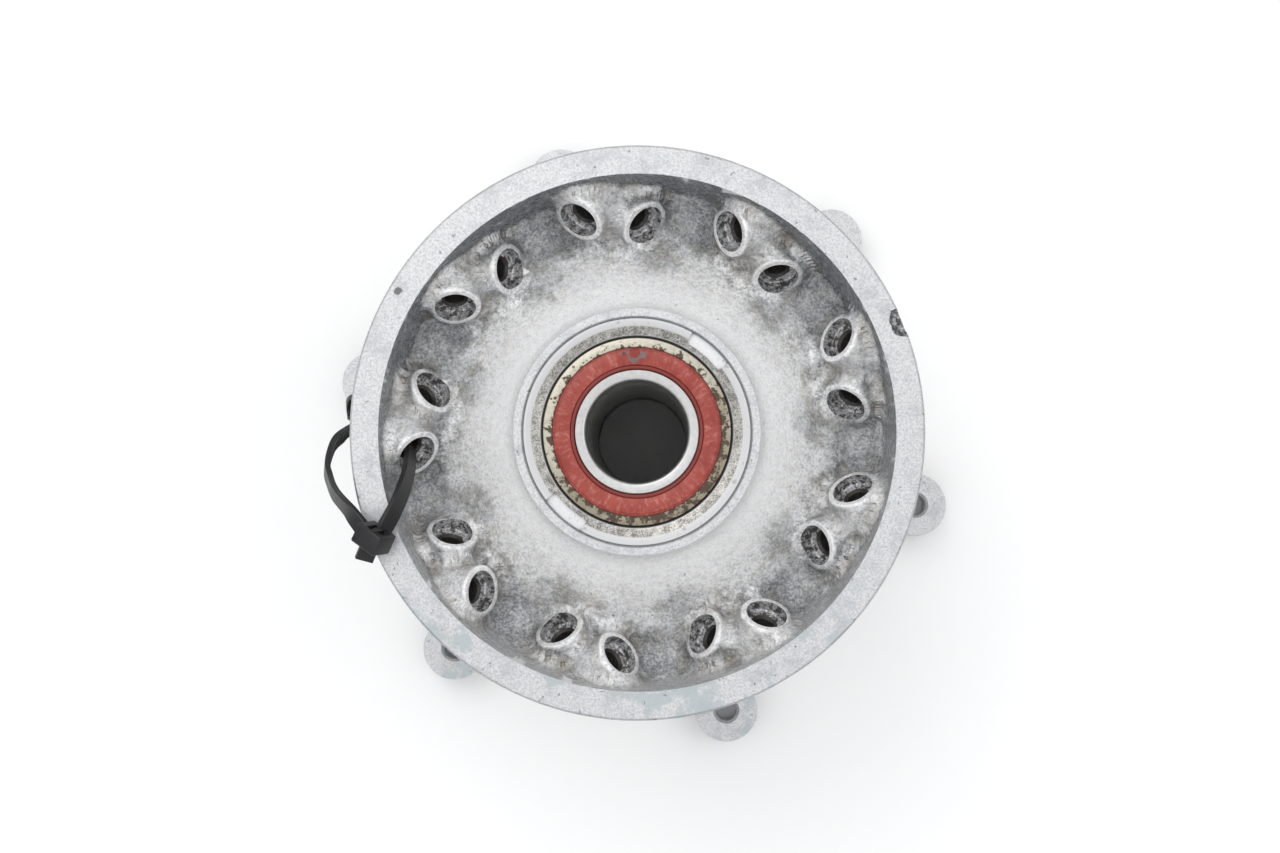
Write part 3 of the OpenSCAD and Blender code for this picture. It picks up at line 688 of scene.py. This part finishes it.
# %% Spoke pockets and holes
POCKET_H, POCKET_ABOVE, DRILL_END, DRILL_MOUTH_R = 2.4, -2.6, 26, 2.65
pocket = [(0, POCKET_ABOVE), (SEAT_POCKET_R, POCKET_ABOVE), (SEAT_POCKET_R, POCKET_H - 0.3),
          (SEAT_POCKET_R - 0.3, POCKET_H), (0, POCKET_H)]
drill = [(0, POCKET_H - 0.3), (DRILL_MOUTH_R, POCKET_H - 0.3), (DRILL_MOUTH_R, POCKET_H),
         (SPOKE_HOLE_R, POCKET_H + 0.6), (SPOKE_HOLE_R, DRILL_END), (0, DRILL_END)]
for name, outline, finish in (("spoke_pockets", pocket, POCKET), ("spoke_holes", drill, SPOKE_HOLE)):
    cutters = bmesh.new()
    for seat, _ in seats():
        add(cutters, turned(outline, 32, seat))
    machine(casting, name, cutters, finish)

# %% [markdown]
# ### Dirt and shade round the spoke seats
# Below each mouth and between paired bosses the grime is thicker than the shape alone would say, since a
# brush can't get past the spokes, and painted shade is laid there as well, under the mouths and between the
# bosses.
# This is the one painted mask: each point of the mesh stores its share.

# %% Dirt and shade round the spoke seats
NEAR_MOUTH, BETWEEN_REACH, DIRT_AND_SHADE_WIDTH = 11, 6, 4.6


def paint_dirt_and_shade(piece):
    """Stores 0 to 1 at each point: how much dirt and painted shade lie below the mouths and between paired
    bosses.
    """
    mouths = [(seat.inverted(), seat.translation.copy()) for seat, _ in seats()]
    centres = [(a[1] + b[1]) / 2 for a, b in zip(mouths[::2], mouths[1::2])]
    dirt_and_shade = piece.data.attributes.new("dirt_and_shade", "FLOAT", "POINT")
    for v, value in zip(piece.data.vertices, dirt_and_shade.data):
        amount = 0.0
        for to_seat, mouth in mouths:
            if (v.co - mouth).length > NEAR_MOUTH * MM:
                continue
            away = (to_seat @ v.co).xy.length / MM
            inward = (mouth.xy - v.co.xy).dot(mouth.xy.normalized()) / MM
            if away > SEAT_BOSS_R - 0.2 and inward > -2:
                fading = max(0, 1 - (away - SEAT_BOSS_R) / DIRT_AND_SHADE_WIDTH)
                amount = max(amount, min(1, (inward + 2) / 4) * fading)
        for centre in centres:
            amount = max(amount, 1 - (v.co - centre).length / (BETWEEN_REACH * MM))
        value.value = amount


paint_dirt_and_shade(casting)
print("dirt painted on", len(casting.data.vertices), "points")

# %% [markdown]
# ### Chip in the rim
# The plain rim has lost a bite to a hard knock. The cutter is a ball, squashed and roughened with noise, so
# the hollow it leaves is uneven like broken metal and closed all round.

# %% Chip in the rim
CHIP_TURN, CHIP_SIZE, CHIP_ROUGH, CHIP_LUMPS = 22.4, (2.1, 3.1, 1.9, 1), 0.55, 700
chip = bmesh.new()
at_edge = spun(CHIP_TURN) @ moved(FLANGE_R - 0.6, 0, HUB_H)
bmesh.ops.create_icosphere(chip, subdivisions=4, radius=MM, matrix=at_edge @ Matrix.Diagonal(CHIP_SIZE))
for v in chip.verts:
    v.co += noise.noise_vector(v.co * CHIP_LUMPS) * CHIP_ROUGH * MM
machine(casting, "rim_chip", chip, BREAK)

# %% Shading of cast and cut faces
def smooth_by_angle(piece, limit=32):
    """Smooth shading, with an edge kept sharp where its faces turn by more than the limit."""
    bm = bmesh.new()
    bm.from_mesh(piece.data)
    bmesh.ops.remove_doubles(bm, verts=bm.verts, dist=1e-6)
    for face in bm.faces:
        face.smooth = True
    for edge in bm.edges:
        edge.smooth = len(edge.link_faces) == 2 and edge.calc_face_angle(0) < math.radians(limit)
    bm.to_mesh(piece.data)
    bm.free()


smooth_by_angle(casting)


def hand_in(piece, body, slot, *nodes):
    """Says what the piece moves with and which CAD nodes it stands for; its slot argument is not used."""
    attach(piece, body)
    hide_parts(*nodes)
    triangles = sum(len(face.vertices) - 2 for face in piece.data.polygons)
    points = [v.co for v in piece.data.vertices]
    low, high = ([round(end(co[i] for co in points) / MM, 2) for i in range(3)] for end in (min, max))
    print(piece.name, triangles, "triangles,", low, "to", high, "mm")


hand_in(casting, "hub", "cast_aluminium", "hub_shell")

# %% [markdown]
# ## Bearing carrier
# The threaded ring that holds the plain-side bearing is turned, then slotted twice for a pin spanner. Its
# chamfer has collected dirt, while the flat end is worn bright by the spanner and by cleaning.

# %% Carrier finish
def carrier_skin(name):
    finish, tree, skin = shader(name)
    where = millimetres(tree)
    radius = radius_of(tree, where)
    lines = turned_grain(tree, where, 4.0)
    fine = grain(tree, where, 3.2, 4, 0.75)
    below = minus(tree, carrier_top, part_of(tree, where, "Z"))
    flat_end = blend(tree, step(tree, lines, 0.35, 0.65), (0.43, 0.43, 0.435), (0.64, 0.64, 0.645))
    slot_floor = blend(tree, step(tree, fine, 0.3, 0.7), (0.60, 0.60, 0.61), (0.74, 0.74, 0.75))
    in_slot = times(tree, step(tree, below, 1.0, 1.2), step(tree, radius, 19.7, 19.9))
    bright = blend(tree, in_slot, flat_end, slot_floor)
    chamfer = times(tree, step(tree, radius, 20.75, 20.45), step(tree, radius, 18.8, 19.0))
    soil = step(tree, plus(tree, fine, times(tree, grain(tree, where, 0.5), 0.5)), 0.62, 0.86)
    soiled = blend(tree, soil, (0.50, 0.49, 0.46), (0.10, 0.09, 0.075))
    on_chamfer = times(tree, chamfer, minus(tree, 1.0, in_slot))
    colour = blend(tree, times(tree, on_chamfer, 0.92), bright, soiled)
    seat_gap = times(tree, step(tree, radius, 18.86, 18.78), step(tree, below, 2.0, 1.6))
    colour = blend(tree, times(tree, seat_gap, 0.9), colour, (0.035, 0.032, 0.03))
    marks = step(tree, grain(tree, where, 0.55, 5, 0.7), 0.60, 0.67)
    colour = blend(tree, times(tree, marks, 0.6), colour, (0.25, 0.24, 0.22))
    # Inner corners of the carrier are darkened where they are shut in: painted shade.
    crevice_shade = corners(tree, 1.0, 6)
    colour = blend(tree, step(tree, crevice_shade, 0.45, 0.8), colour, (0.12, 0.11, 0.10))
    surface(tree, skin, colour, 0.85, step(tree, fine, 0.3, 0.7, 0.42, 0.28))
    bumps(tree, skin, (lines, 0.012), (fine, 0.02))
    return finish


CARRIER = carrier_skin("carrier_metal")

# %% Carrier
SLOT_TURNS, SLOT_WIDE, SLOT_DEPTH, SLOT_R = (48.8, 228.8), 24, 1.4, 19.8
plain_bearing_z = carrier_z + 1.5
carrier_ring = [
    (LEDGE_R, carrier_z), (CARRIER_R - 0.4, carrier_z), (CARRIER_R - 0.05, carrier_z + 0.4),
    (CARRIER_R - 0.05, carrier_top - 0.15), (CARRIER_R - 0.2, carrier_top), (20.65, carrier_top),
    (20.5, carrier_top - 0.04), (18.95, carrier_top - 0.62), (18.65, carrier_top - 0.68),
    (18.51, carrier_top - 0.8), (18.51, plain_bearing_z), (LEDGE_R, plain_bearing_z)]
carrier = new_object("bearing_carrier_ring", turned(carrier_ring), CARRIER)
slots = bmesh.new()
for slot_turn in SLOT_TURNS:
    wedge = bmesh.new()
    section = ((SLOT_R, -SLOT_DEPTH), (26, -SLOT_DEPTH), (26, 2), (SLOT_R, 2))
    start = wedge.faces.new([wedge.verts.new((r * MM, 0, (carrier_top + z) * MM)) for r, z in section])
    bmesh.ops.spin(wedge, geom=[start, *start.edges, *start.verts], axis=(0, 0, 1), cent=(0, 0, 0),
                   angle=math.radians(SLOT_WIDE), steps=12)
    print("slot cutter: open edges", sum(1 for e in wedge.edges if not e.is_manifold))
    bmesh.ops.transform(wedge, matrix=spun(slot_turn - SLOT_WIDE / 2), verts=wedge.verts)
    add(slots, wedge)
machine(carrier, "spanner_slots", slots, CARRIER)
smooth_by_angle(carrier)
hand_in(carrier, "hub", "carrier_metal", "bearing_carrier")

# %% [markdown]
# ## Bearings
# Both wheel bearings are alike: an outer and an inner ring with a groove for the balls, and a red rubber seal
# pressed into each side. The rings are ground steel. The outer ring's open face has gone olive, with brown
# rust that creeps out from the seal. The seal is moulded rubber, with faint streaks and one torn spot.

# %% Ring finishes
def rusted(tree, where, base):
    """Olive film and brown rust, thicker toward one side and near the seal, and a dark outer edge."""
    radius = radius_of(tree, where)
    toward = plus(tree, times(tree, part_of(tree, where, "X"), 0.014),
                  times(tree, part_of(tree, where, "Y"), -0.022))
    near_seal = plus(tree, step(tree, radius, 18.2, 16.5, 0.0, 0.12), times(tree, toward, 0.10))
    blotch = plus(tree, grain(tree, where, 0.55, 7, 0.72), near_seal)
    olive = step(tree, plus(tree, grain(tree, where, 0.2, 3), toward), 0.42, 0.75)
    specks = step(tree, grain(tree, where, 2.8, 3), 0.66, 0.7)
    base = blend(tree, times(tree, olive, 0.75), base, (0.22, 0.19, 0.125))
    base = blend(tree, step(tree, blotch, 0.575, 0.60), base, (0.085, 0.06, 0.045))
    base = blend(tree, times(tree, specks, 0.6), base, (0.10, 0.08, 0.06))
    return blend(tree, step(tree, radius, 18.22, 18.30, 0.0, 0.9), base, (0.03, 0.028, 0.025))


def ring_skin(name, clean, dark, stained):
    finish, tree, skin = shader(name)
    where = millimetres(tree)
    fine = grain(tree, where, 1.1, 4)
    base = blend(tree, step(tree, fine, 0.35, 0.7), clean, dark)
    if stained:
        base = rusted(tree, where, base)
    surface(tree, skin, base, 0.7 if stained else 0.9, step(tree, fine, 0.3, 0.7, 0.40, 0.28))
    bumps(tree, skin, (turned_grain(tree, where, 5.0), 0.006), (fine, 0.012 if stained else 0.004))
    return finish


OUTER_STEEL = ring_skin("ring_steel_outer", (0.50, 0.475, 0.395), (0.40, 0.37, 0.305), True)
INNER_STEEL = ring_skin("ring_steel_inner", (0.55, 0.545, 0.54), (0.47, 0.465, 0.46), False)

# %% Seal finish
def seal_skin(name, torn_z):
    finish, tree, skin = shader(name)
    where = millimetres(tree)
    across, up, height = (part_of(tree, where, axis) for axis in "XYZ")
    radius = radius_of(tree, where)
    around = wire(tree, "CombineXYZ", ("X", times(tree, angle_of(tree, up, across), 15.0)),
                  ("Y", times(tree, radius, 0.45)), ("Z", height)).outputs["Vector"]
    streaks = grain(tree, around, 1.5, 4, 0.65)
    streak = step(tree, streaks, 0.50, 0.68)
    cloud = grain(tree, where, 0.25, 3)
    red = blend(tree, step(tree, cloud, 0.35, 0.65), (0.27, 0.030, 0.018), (0.37, 0.058, 0.040))
    # Streaks beyond r 13 mm are painted paler pink: partly a pale film on the rubber, partly painted sheen.
    pale_streak = times(tree, streak, step(tree, radius, 12.9, 13.3, 0.0, 0.6))
    red = blend(tree, times(tree, pale_streak, step(tree, cloud, 0.3, 0.6)), red, (0.56, 0.26, 0.22))
    lip = step(tree, radius, 13.15, 13.0)
    red = blend(tree, times(tree, lip, 0.75), red, (0.16, 0.018, 0.014))
    grit = step(tree, grain(tree, where, 3.5, 3), 0.68, 0.72)
    red = blend(tree, times(tree, grit, 0.5), red, (0.10, 0.03, 0.025))
    for place, size, tint in (((-0.5, 15.0, torn_z), 1.55, (0.16, 0.12, 0.115)),
                              ((-0.5, 15.5, torn_z), 1.2, (0.24, 0.016, 0.008)),
                              ((1.25, 15.0, torn_z), 0.65, (0.16, 0.125, 0.12)),
                              ((-2.5, 15.2, torn_z), 0.42, (0.10, 0.035, 0.03))):
        red = blend(tree, spot(tree, where, place, size, 0.7), red, tint)
    surface(tree, skin, red, 0.0, step(tree, streak, 0, 1, 0.36, 0.55))
    skin.inputs["Specular IOR Level"].default_value = 0.45
    bumps(tree, skin, (streaks, 0.05), (grain(tree, where, 2.5), 0.02))
    return finish


SEAL_RED = seal_skin("red_rubber", plain_bearing_z + 8.7)
print("bearing finishes ready")

# %% Rings and seals
BALL_R, PITCH_R = 2.38, 14.25
groove_turn = math.degrees(math.acos(0.63 * BALL_R / (BALL_R + 0.05)))


def rounded(outline):
    """An outline and its mirror image below the middle plane, joined into one closed outline."""
    return outline + [(r, -z) for r, z in reversed(outline)]


outer_ring = rounded([(15.75, 3.2), (16.5, 3.2), (16.5, 4.42), (16.58, 4.5), (18.1, 4.5), (18.3, 4.42),
                      (18.44, 4.2), (18.5, 3.9)])
outer_ring += arc(PITCH_R, 0, BALL_R + 0.05, -groove_turn, groove_turn, 12)
inner_ring = rounded([(12.75, 3.2), (12.05, 3.2), (12.05, 4.42), (11.97, 4.5), (10.6, 4.5), (10.3, 4.42),
                      (10.08, 4.2), (10, 3.9)])
inner_ring += arc(PITCH_R, 0, BALL_R + 0.05, 180 + groove_turn, 180 - groove_turn, 12)
seal_ring = [
    (12.1, 3.25), (16.49, 3.25), (16.49, 3.95), (16.2, 3.98), (16.02, 4.02), (15.96, 4.16), (15.86, 4.2),
    (13.2, 4.2), (13.1, 4.15), (13.06, 3.93), (12.98, 3.88), (12.92, 3.92), (12.86, 4.03), (12.78, 4.06),
    (12.4, 4.06), (12.28, 4.0), (12.12, 3.75)]
for side, middle in (("plain", plain_bearing_z + 4.5), ("disc", disc_bearing_z + 4.5)):
    at = moved(0, 0, middle)
    flip = at @ Matrix.Rotation(math.pi, 4, "X")
    outward, inward = (at, flip) if side == "plain" else (flip, at)
    for name, outline, place, finish, body, slot in (
            ("outer_ring", outer_ring, at, OUTER_STEEL, "hub", "ring_steel_outer"),
            ("inner_ring", inner_ring, at, INNER_STEEL, "axle_sleeve", "ring_steel_inner"),
            ("seal_outer", seal_ring, outward, SEAL_RED, "hub", "red_rubber"),
            ("seal_inner", seal_ring, inward, SEAL_RED, "hub", "red_rubber")):
        piece = new_object(side + "_bearing_" + name, turned(outline, place=place), finish)
        smooth_by_angle(piece, 40)
        hand_in(piece, body, slot, side + "_" + name)

# %% [markdown]
# ## Balls, cages, snap ring and collar
# Balls, cages, rivets and the snap ring keep their CAD shapes, which are already right, and get real
# finishes: polished balls, greasy pressed cages, phosphated spring steel. The collar is a plain turned tube,
# spun again with finer steps because its bore shows through the bearing.

# %% Hidden steel
def steel_skin(name, low, high, rough, grease=None):
    finish, tree, skin = shader(name)
    where = millimetres(tree)
    fine = grain(tree, where, 1.6, 5, 0.65)
    colour = blend(tree, step(tree, fine, 0.35, 0.65), low, high)
    if grease:
        film = step(tree, grain(tree, where, 0.5, 3), 0.48, 0.6)
        colour = blend(tree, times(tree, film, 0.7), colour, grease)
    surface(tree, skin, colour, 0.9, step(tree, fine, 0.3, 0.7, rough * 1.2, rough * 0.8))
    bumps(tree, skin, (fine, 0.01))
    return finish


GREASE = (0.28, 0.18, 0.06)
kept_finishes = {name: steel_skin(name, *look) for name, look in {
    "ball_steel": ((0.66, 0.67, 0.69), (0.72, 0.73, 0.75), 0.08),
    "cage_sheet": ((0.46, 0.43, 0.36), (0.54, 0.51, 0.44), 0.35, GREASE),
    "rivet_steel": ((0.40, 0.38, 0.34), (0.48, 0.46, 0.42), 0.4, GREASE),
    "spring_steel": ((0.07, 0.07, 0.075), (0.12, 0.12, 0.125), 0.4)}.items()}
for part in frame["record"]["subparts"]:
    if part["material_slot"] in kept_finishes:
        node = frame["nodes"][part["node"]]
        for material_slot in node.material_slots:
            material_slot.material = kept_finishes[part["material_slot"]]
        print("finish", part["material_slot"], "on", part["node"])

# %% Distance collar
COLLAR_STEEL = steel_skin("collar_steel", (0.80, 0.80, 0.79), (0.88, 0.88, 0.87), 0.34, (0.60, 0.59, 0.55))
length = plain_bearing_z - collar_z
collar_end = [(10.15, 0.5), (10.3, 0.2), (10.65, 0), (11.7, 0), (12, 0.3)]
collar_tube = [(r, collar_z + z) for r, z in collar_end]
collar_tube += [(r, collar_z + length - z) for r, z in reversed(collar_end)]
collar = new_object("distance_collar_tube", turned(collar_tube), COLLAR_STEEL)
smooth_by_angle(collar, 40)
hand_in(collar, "axle_sleeve", "collar_steel", "distance_collar")

# %% [markdown]
# ## Dust seal
# The disc side is closed by a pressed-in rubber seal with two lips. Like the rings it is turned from an
# outline. Its spring and the cable tie are long thin shapes that follow a path, so they are swept: a small
# outline is set up at a station on the path and extruded to the next one, again and again.

# %% Swept shapes
def frame_at(place, ahead, toward):
    """A station: X across the path, Y as near to the wanted side as can be, Z along the path."""
    along = ahead.normalized()
    side = (toward - toward.dot(along) * along).normalized()
    return Matrix((along.cross(side) * -1, side, along)).transposed().to_4x4(), place


def swept(outline, stations, closed=False):
    """Extrudes an outline of (across, side) points in metres from each station to the next."""
    bm = bmesh.new()
    outlines = [outline(i) for i in range(len(stations))]
    turn, place = stations[0]
    first = [bm.verts.new(turn @ Vector((x, y, 0)) + place) for x, y in outlines[0]]
    rim = [bm.edges.new((first[i - 1], first[i])) for i in range(len(first))]
    if not closed:
        bm.faces.new(first)
    start = rim
    for i in range(1, len(stations)):
        made = bmesh.ops.extrude_edge_only(bm, edges=rim)["geom"]
        new_points = [v for v in made if isinstance(v, bmesh.types.BMVert)]
        rim = [e for e in made
               if isinstance(e, bmesh.types.BMEdge) and all(v in new_points for v in e.verts)]
        turn, place = stations[i]
        for v, (x, y) in zip(new_points, outlines[i]):
            v.co = turn @ Vector((x, y, 0)) + place
    if closed:
        bmesh.ops.bridge_loops(bm, edges=start + rim)
    else:
        bmesh.ops.holes_fill(bm, edges=rim, sides=0)
    bmesh.ops.recalc_face_normals(bm, faces=bm.faces)
    return bm


# %% Dust seal
def rubber_skin(name, dark, pale, dust):
    finish, tree, skin = shader(name)
    where = millimetres(tree)
    fine = grain(tree, where, 2.2, 4, 0.7)
    colour = blend(tree, step(tree, fine, 0.4, 0.65), dark, pale)
    dusty = step(tree, grain(tree, where, 0.6), 0.4, 0.6)
    lodged = times(tree, step(tree, corners(tree, 2.0, 6), 0.25, 0.7), dusty)
    colour = blend(tree, times(tree, lodged, dust), colour, (0.30, 0.28, 0.25))
    surface(tree, skin, colour, 0.0, step(tree, fine, 0.3, 0.7, 0.42, 0.58))
    bumps(tree, skin, (fine, 0.02), (grain(tree, where, 0.5), 0.03))
    return finish


DUST_RUBBER = rubber_skin("dust_rubber", (0.018, 0.018, 0.019), (0.035, 0.035, 0.036), 0.5)
dust_profile = [
    (18.5, 0.4), (18.5, 5.7), (18.2, 6), (16.9, 6), (16.9, 2.0), (16.7, 1.8), (16.1, 1.8), (15.9, 2.0),
    (15.4, 5.4), (13.8, 5.4), (13.0, 4.2), (13.0, 3.6), (13.9, 1.6), (13.75, 1.1), (13.2, 0.3), (13.3, 0.08),
    (13.6, 0), (14.3, 0), (14.5, 0.2), (14.8, 0.2), (15.0, 0), (17.4, 0), (17.5, 0.12), (17.7, 0.12),
    (17.8, 0), (18.1, 0), (18.4, 0.1)]
dust_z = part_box("dust_seal")[0][2] / MM
dust_ring = [(r, dust_z + z) for r, z in dust_profile]
dust_seal = new_object("dust_seal_ring", turned(dust_ring), DUST_RUBBER)
smooth_by_angle(dust_seal, 50)
hand_in(dust_seal, "hub", "dust_rubber", "dust_seal")

# %% [markdown]
# ### Garter spring
# A fine coil joined into a ring holds the seal's main lip on its spacer. Its wire is drawn turn by turn: the
# path winds round a circle, which itself runs round the hub.

# %% Garter spring
GARTER_WIRE = steel_skin("garter_wire", (0.52, 0.53, 0.55), (0.62, 0.63, 0.65), 0.25)
spring_middle = sum(corner[2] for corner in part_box("dust_seal_spring")) / 2
ring_r, coil_r, wire_r, coils, per_coil = 15.5 * MM, 0.55 * MM, 0.14 * MM, 84, 9


def on_coil(i):
    """The wire's centre at step i of its way round the hub."""
    turn_by, wind = 2 * math.pi * i / (coils * per_coil), 2 * math.pi * i / per_coil
    radius = ring_r + coil_r * math.cos(wind)
    height = spring_middle + coil_r * math.sin(wind)
    return Vector((radius * math.cos(turn_by), radius * math.sin(turn_by), height))


stations = []
for i in range(coils * per_coil):
    centre = (on_coil(i) * Vector((1, 1, 0))).normalized() * ring_r + Vector((0, 0, spring_middle))
    stations.append(frame_at(on_coil(i), on_coil(i + 1) - on_coil(i - 1), on_coil(i) - centre))
wire_section = [(wire_r * math.cos(k * math.pi / 3), wire_r * math.sin(k * math.pi / 3)) for k in range(6)]
garter = new_object("garter_spring_coil", swept(lambda i: wire_section, stations, closed=True), GARTER_WIRE)
smooth_by_angle(garter, 80)
hand_in(garter, "hub", "garter_wire", "dust_seal_spring")

# %% [markdown]
# ## Cable tie
# A black nylon tie is looped through one spoke seat and round the rim. Its strap is flat outside and has a
# channel of small ratchet teeth inside, and its head is a little block with a slot that the tip has passed
# through. The strap is swept along its path, and the channel's floor rises and drops to make the teeth.

# %% Tie finish
NYLON = rubber_skin("black_nylon", (0.006, 0.006, 0.007), (0.014, 0.014, 0.016), 0.15)
shine = NYLON.node_tree.nodes["Principled BSDF"].inputs
shine["Coat Weight"].default_value, shine["Coat Roughness"].default_value = 0.2, 0.3

# %% Tie path
TIE_PAIR = 2
tie_angle = SEAT_TURN + TIE_PAIR * 360 / SEAT_PAIRS + SEAT_SPREAD


def polar(beyond, angle, above):
    """A point so far beyond the rim, degrees past the tie's seat and millimetres above the rim face."""
    a = math.radians(tie_angle + angle)
    return Vector(((FLANGE_R + beyond) * math.cos(a), (FLANGE_R + beyond) * math.sin(a), HUB_H + above))


seat_down = [seat for seat, _ in seats()][2 * TIE_PAIR]
tie_mouth = seat_down.translation / MM
tie_down = (seat_down.to_3x3() @ Vector((0, 0, 1))).normalized()
head_place = polar(-1.4, 16.7, 4.3)
slot_way = Vector((-0.42, -0.85, -0.30)).normalized()
root_way = Vector((-0.80, 0.45, -0.40))
root_way = (root_way - root_way.dot(slot_way) * slot_way).normalized()
inner_leg = [(-3.2, 16.1, 3.3), (-6.5, 12.8, 1.9), (-9.3, 8.0, -1.0), (-10.6, 3.2, -4.7)]
outer_leg = [(2.4, -12.6, -21.2), (2.8, -11.2, -23.6), (2.2, -8.4, -23.0), (1.9, -7.0, -19.0),
             (2.9, -5.6, -14.2), (4.9, -3.4, -11.0), (5.8, 0.6, -7.0), (5.2, 3.4, -4.5), (4.1, 6.2, -1.6),
             (1.6, 10.2, 2.2)]
stops = [head_place + 4.9 * slot_way, head_place] + [polar(*stop) for stop in inner_leg]
stops += [tie_mouth + distance * tie_down for distance in (2.6, 5, 8, 12, 16, 20)]
stops += [polar(*stop) for stop in outer_leg] + [head_place + 2.4 * root_way]


def on_path(u):
    """A smooth curve through the stops, where u counts them."""
    i = min(int(u), len(stops) - 2)
    t = u - i
    p0, p1, p2, p3 = (stops[max(0, min(len(stops) - 1, i + k))] for k in (-1, 0, 1, 2))
    return 0.5 * (2 * p1 + (p2 - p0) * t + (2 * p0 - 5 * p1 + 4 * p2 - p3) * t * t
                  + (3 * p1 - p0 - 3 * p2 + p3) * t * t * t)


fine_path = [on_path((len(stops) - 1) * k / 2000) for k in range(2001)]
TOOTH = 0.36
path, walked = [fine_path[0]], 0.0
for before, after in zip(fine_path, fine_path[1:]):
    walked += (after - before).length
    if walked >= TOOTH * len(path):
        path.append(after)
print("strap length", round(walked, 1), "mm in", len(path), "stations")

# %% Strap
tie_centre = tie_mouth + Vector((-9, -3, -1))
strap_stations = []
for i, place in enumerate(path):
    ahead = path[min(i + 1, len(path) - 1)] - path[max(i - 1, 0)]
    turn, _ = frame_at(place, ahead, tie_centre - place)
    strap_stations.append((turn, place * MM))


TOOTH_FLOORS, PLAIN_FLOOR, PLAIN_STATIONS = (0.5, 0.08, 0.29), 0.45, 20


def strap_outline(i):
    """Flat outside, two rails inside, and between them a channel whose floor makes the teeth."""
    floor_at = PLAIN_FLOOR if i > len(path) - PLAIN_STATIONS else TOOTH_FLOORS[i % 3]
    half, side, edge = (1.8, 0.55, 0.14)
    points = [(-half, -side + edge), (-half + edge, -side), (half - edge, -side), (half, -side + edge),
              (half, side - edge), (half - edge, side), (1.28, side), (1.16, floor_at), (-1.16, floor_at),
              (-1.28, side), (-half + edge, side), (-half, side - edge)]
    return [(x * MM, y * MM) for x, y in points]


strap = swept(strap_outline, strap_stations)
print("strap faces", len(strap.faces))

# %% [markdown]
# ### Head of the tie
# The head is a rounded block. A slot is cut through it for the strap, with shallow recesses beside it, and
# the small pawl that grips the teeth stands in the slot. Head, pawl and strap are one moulded piece.

# %% Head
HEAD_SIZE, HEAD_ROUND = (4.2, 6.2, 5.2), 0.45
head = bmesh.new()
bmesh.ops.create_cube(head, size=1)
bmesh.ops.scale(head, vec=[side * MM for side in HEAD_SIZE], verts=head.verts)
bmesh.ops.bevel(head, geom=head.edges[:], offset=HEAD_ROUND * MM, offset_type="OFFSET", segments=3,
                profile=0.5, affect="EDGES", material=-1)
head_turn = Matrix((slot_way, root_way, slot_way.cross(root_way))).transposed().to_4x4()
head_matrix = Matrix.Translation(head_place * MM) @ head_turn
head_block = new_object("cable_tie", head, NYLON)
mouth = bmesh.new()
box_cut(mouth, (-3, -1.0, -2.0), (3, 1.3, 2.0))
machine(head_block, "head_slot", mouth, NYLON)
for low, high in (((0.9, 1.3, -1.5), (3, 2.2, 1.5)), ((-3, -2.3, -1.1), (-1.4, -1.0, 1.1)),
                  ((-1.3, 1.9, 2.2), (1.3, 4, 3)), ((-1.3, 1.9, -3), (1.3, 4, -2.2))):
    recess = bmesh.new()
    box_cut(recess, low, high)
    machine(head_block, "head_recess", recess, NYLON)
block = bmesh.new()
block.from_mesh(head_block.data)
bmesh.ops.transform(block, matrix=head_matrix, verts=block.verts)
pawl = bmesh.new()
box_cut(pawl, (-1.2, 0.75, -1.1), (1.6, 1.9, 1.1))
bmesh.ops.transform(pawl, matrix=head_matrix @ spun(-9), verts=pawl.verts)
add(block, pawl)
add(block, strap)
block.to_mesh(head_block.data)
block.free()
smooth_by_angle(head_block, 30)
hand_in(head_block, "hub", "black_nylon", "cable_tie")
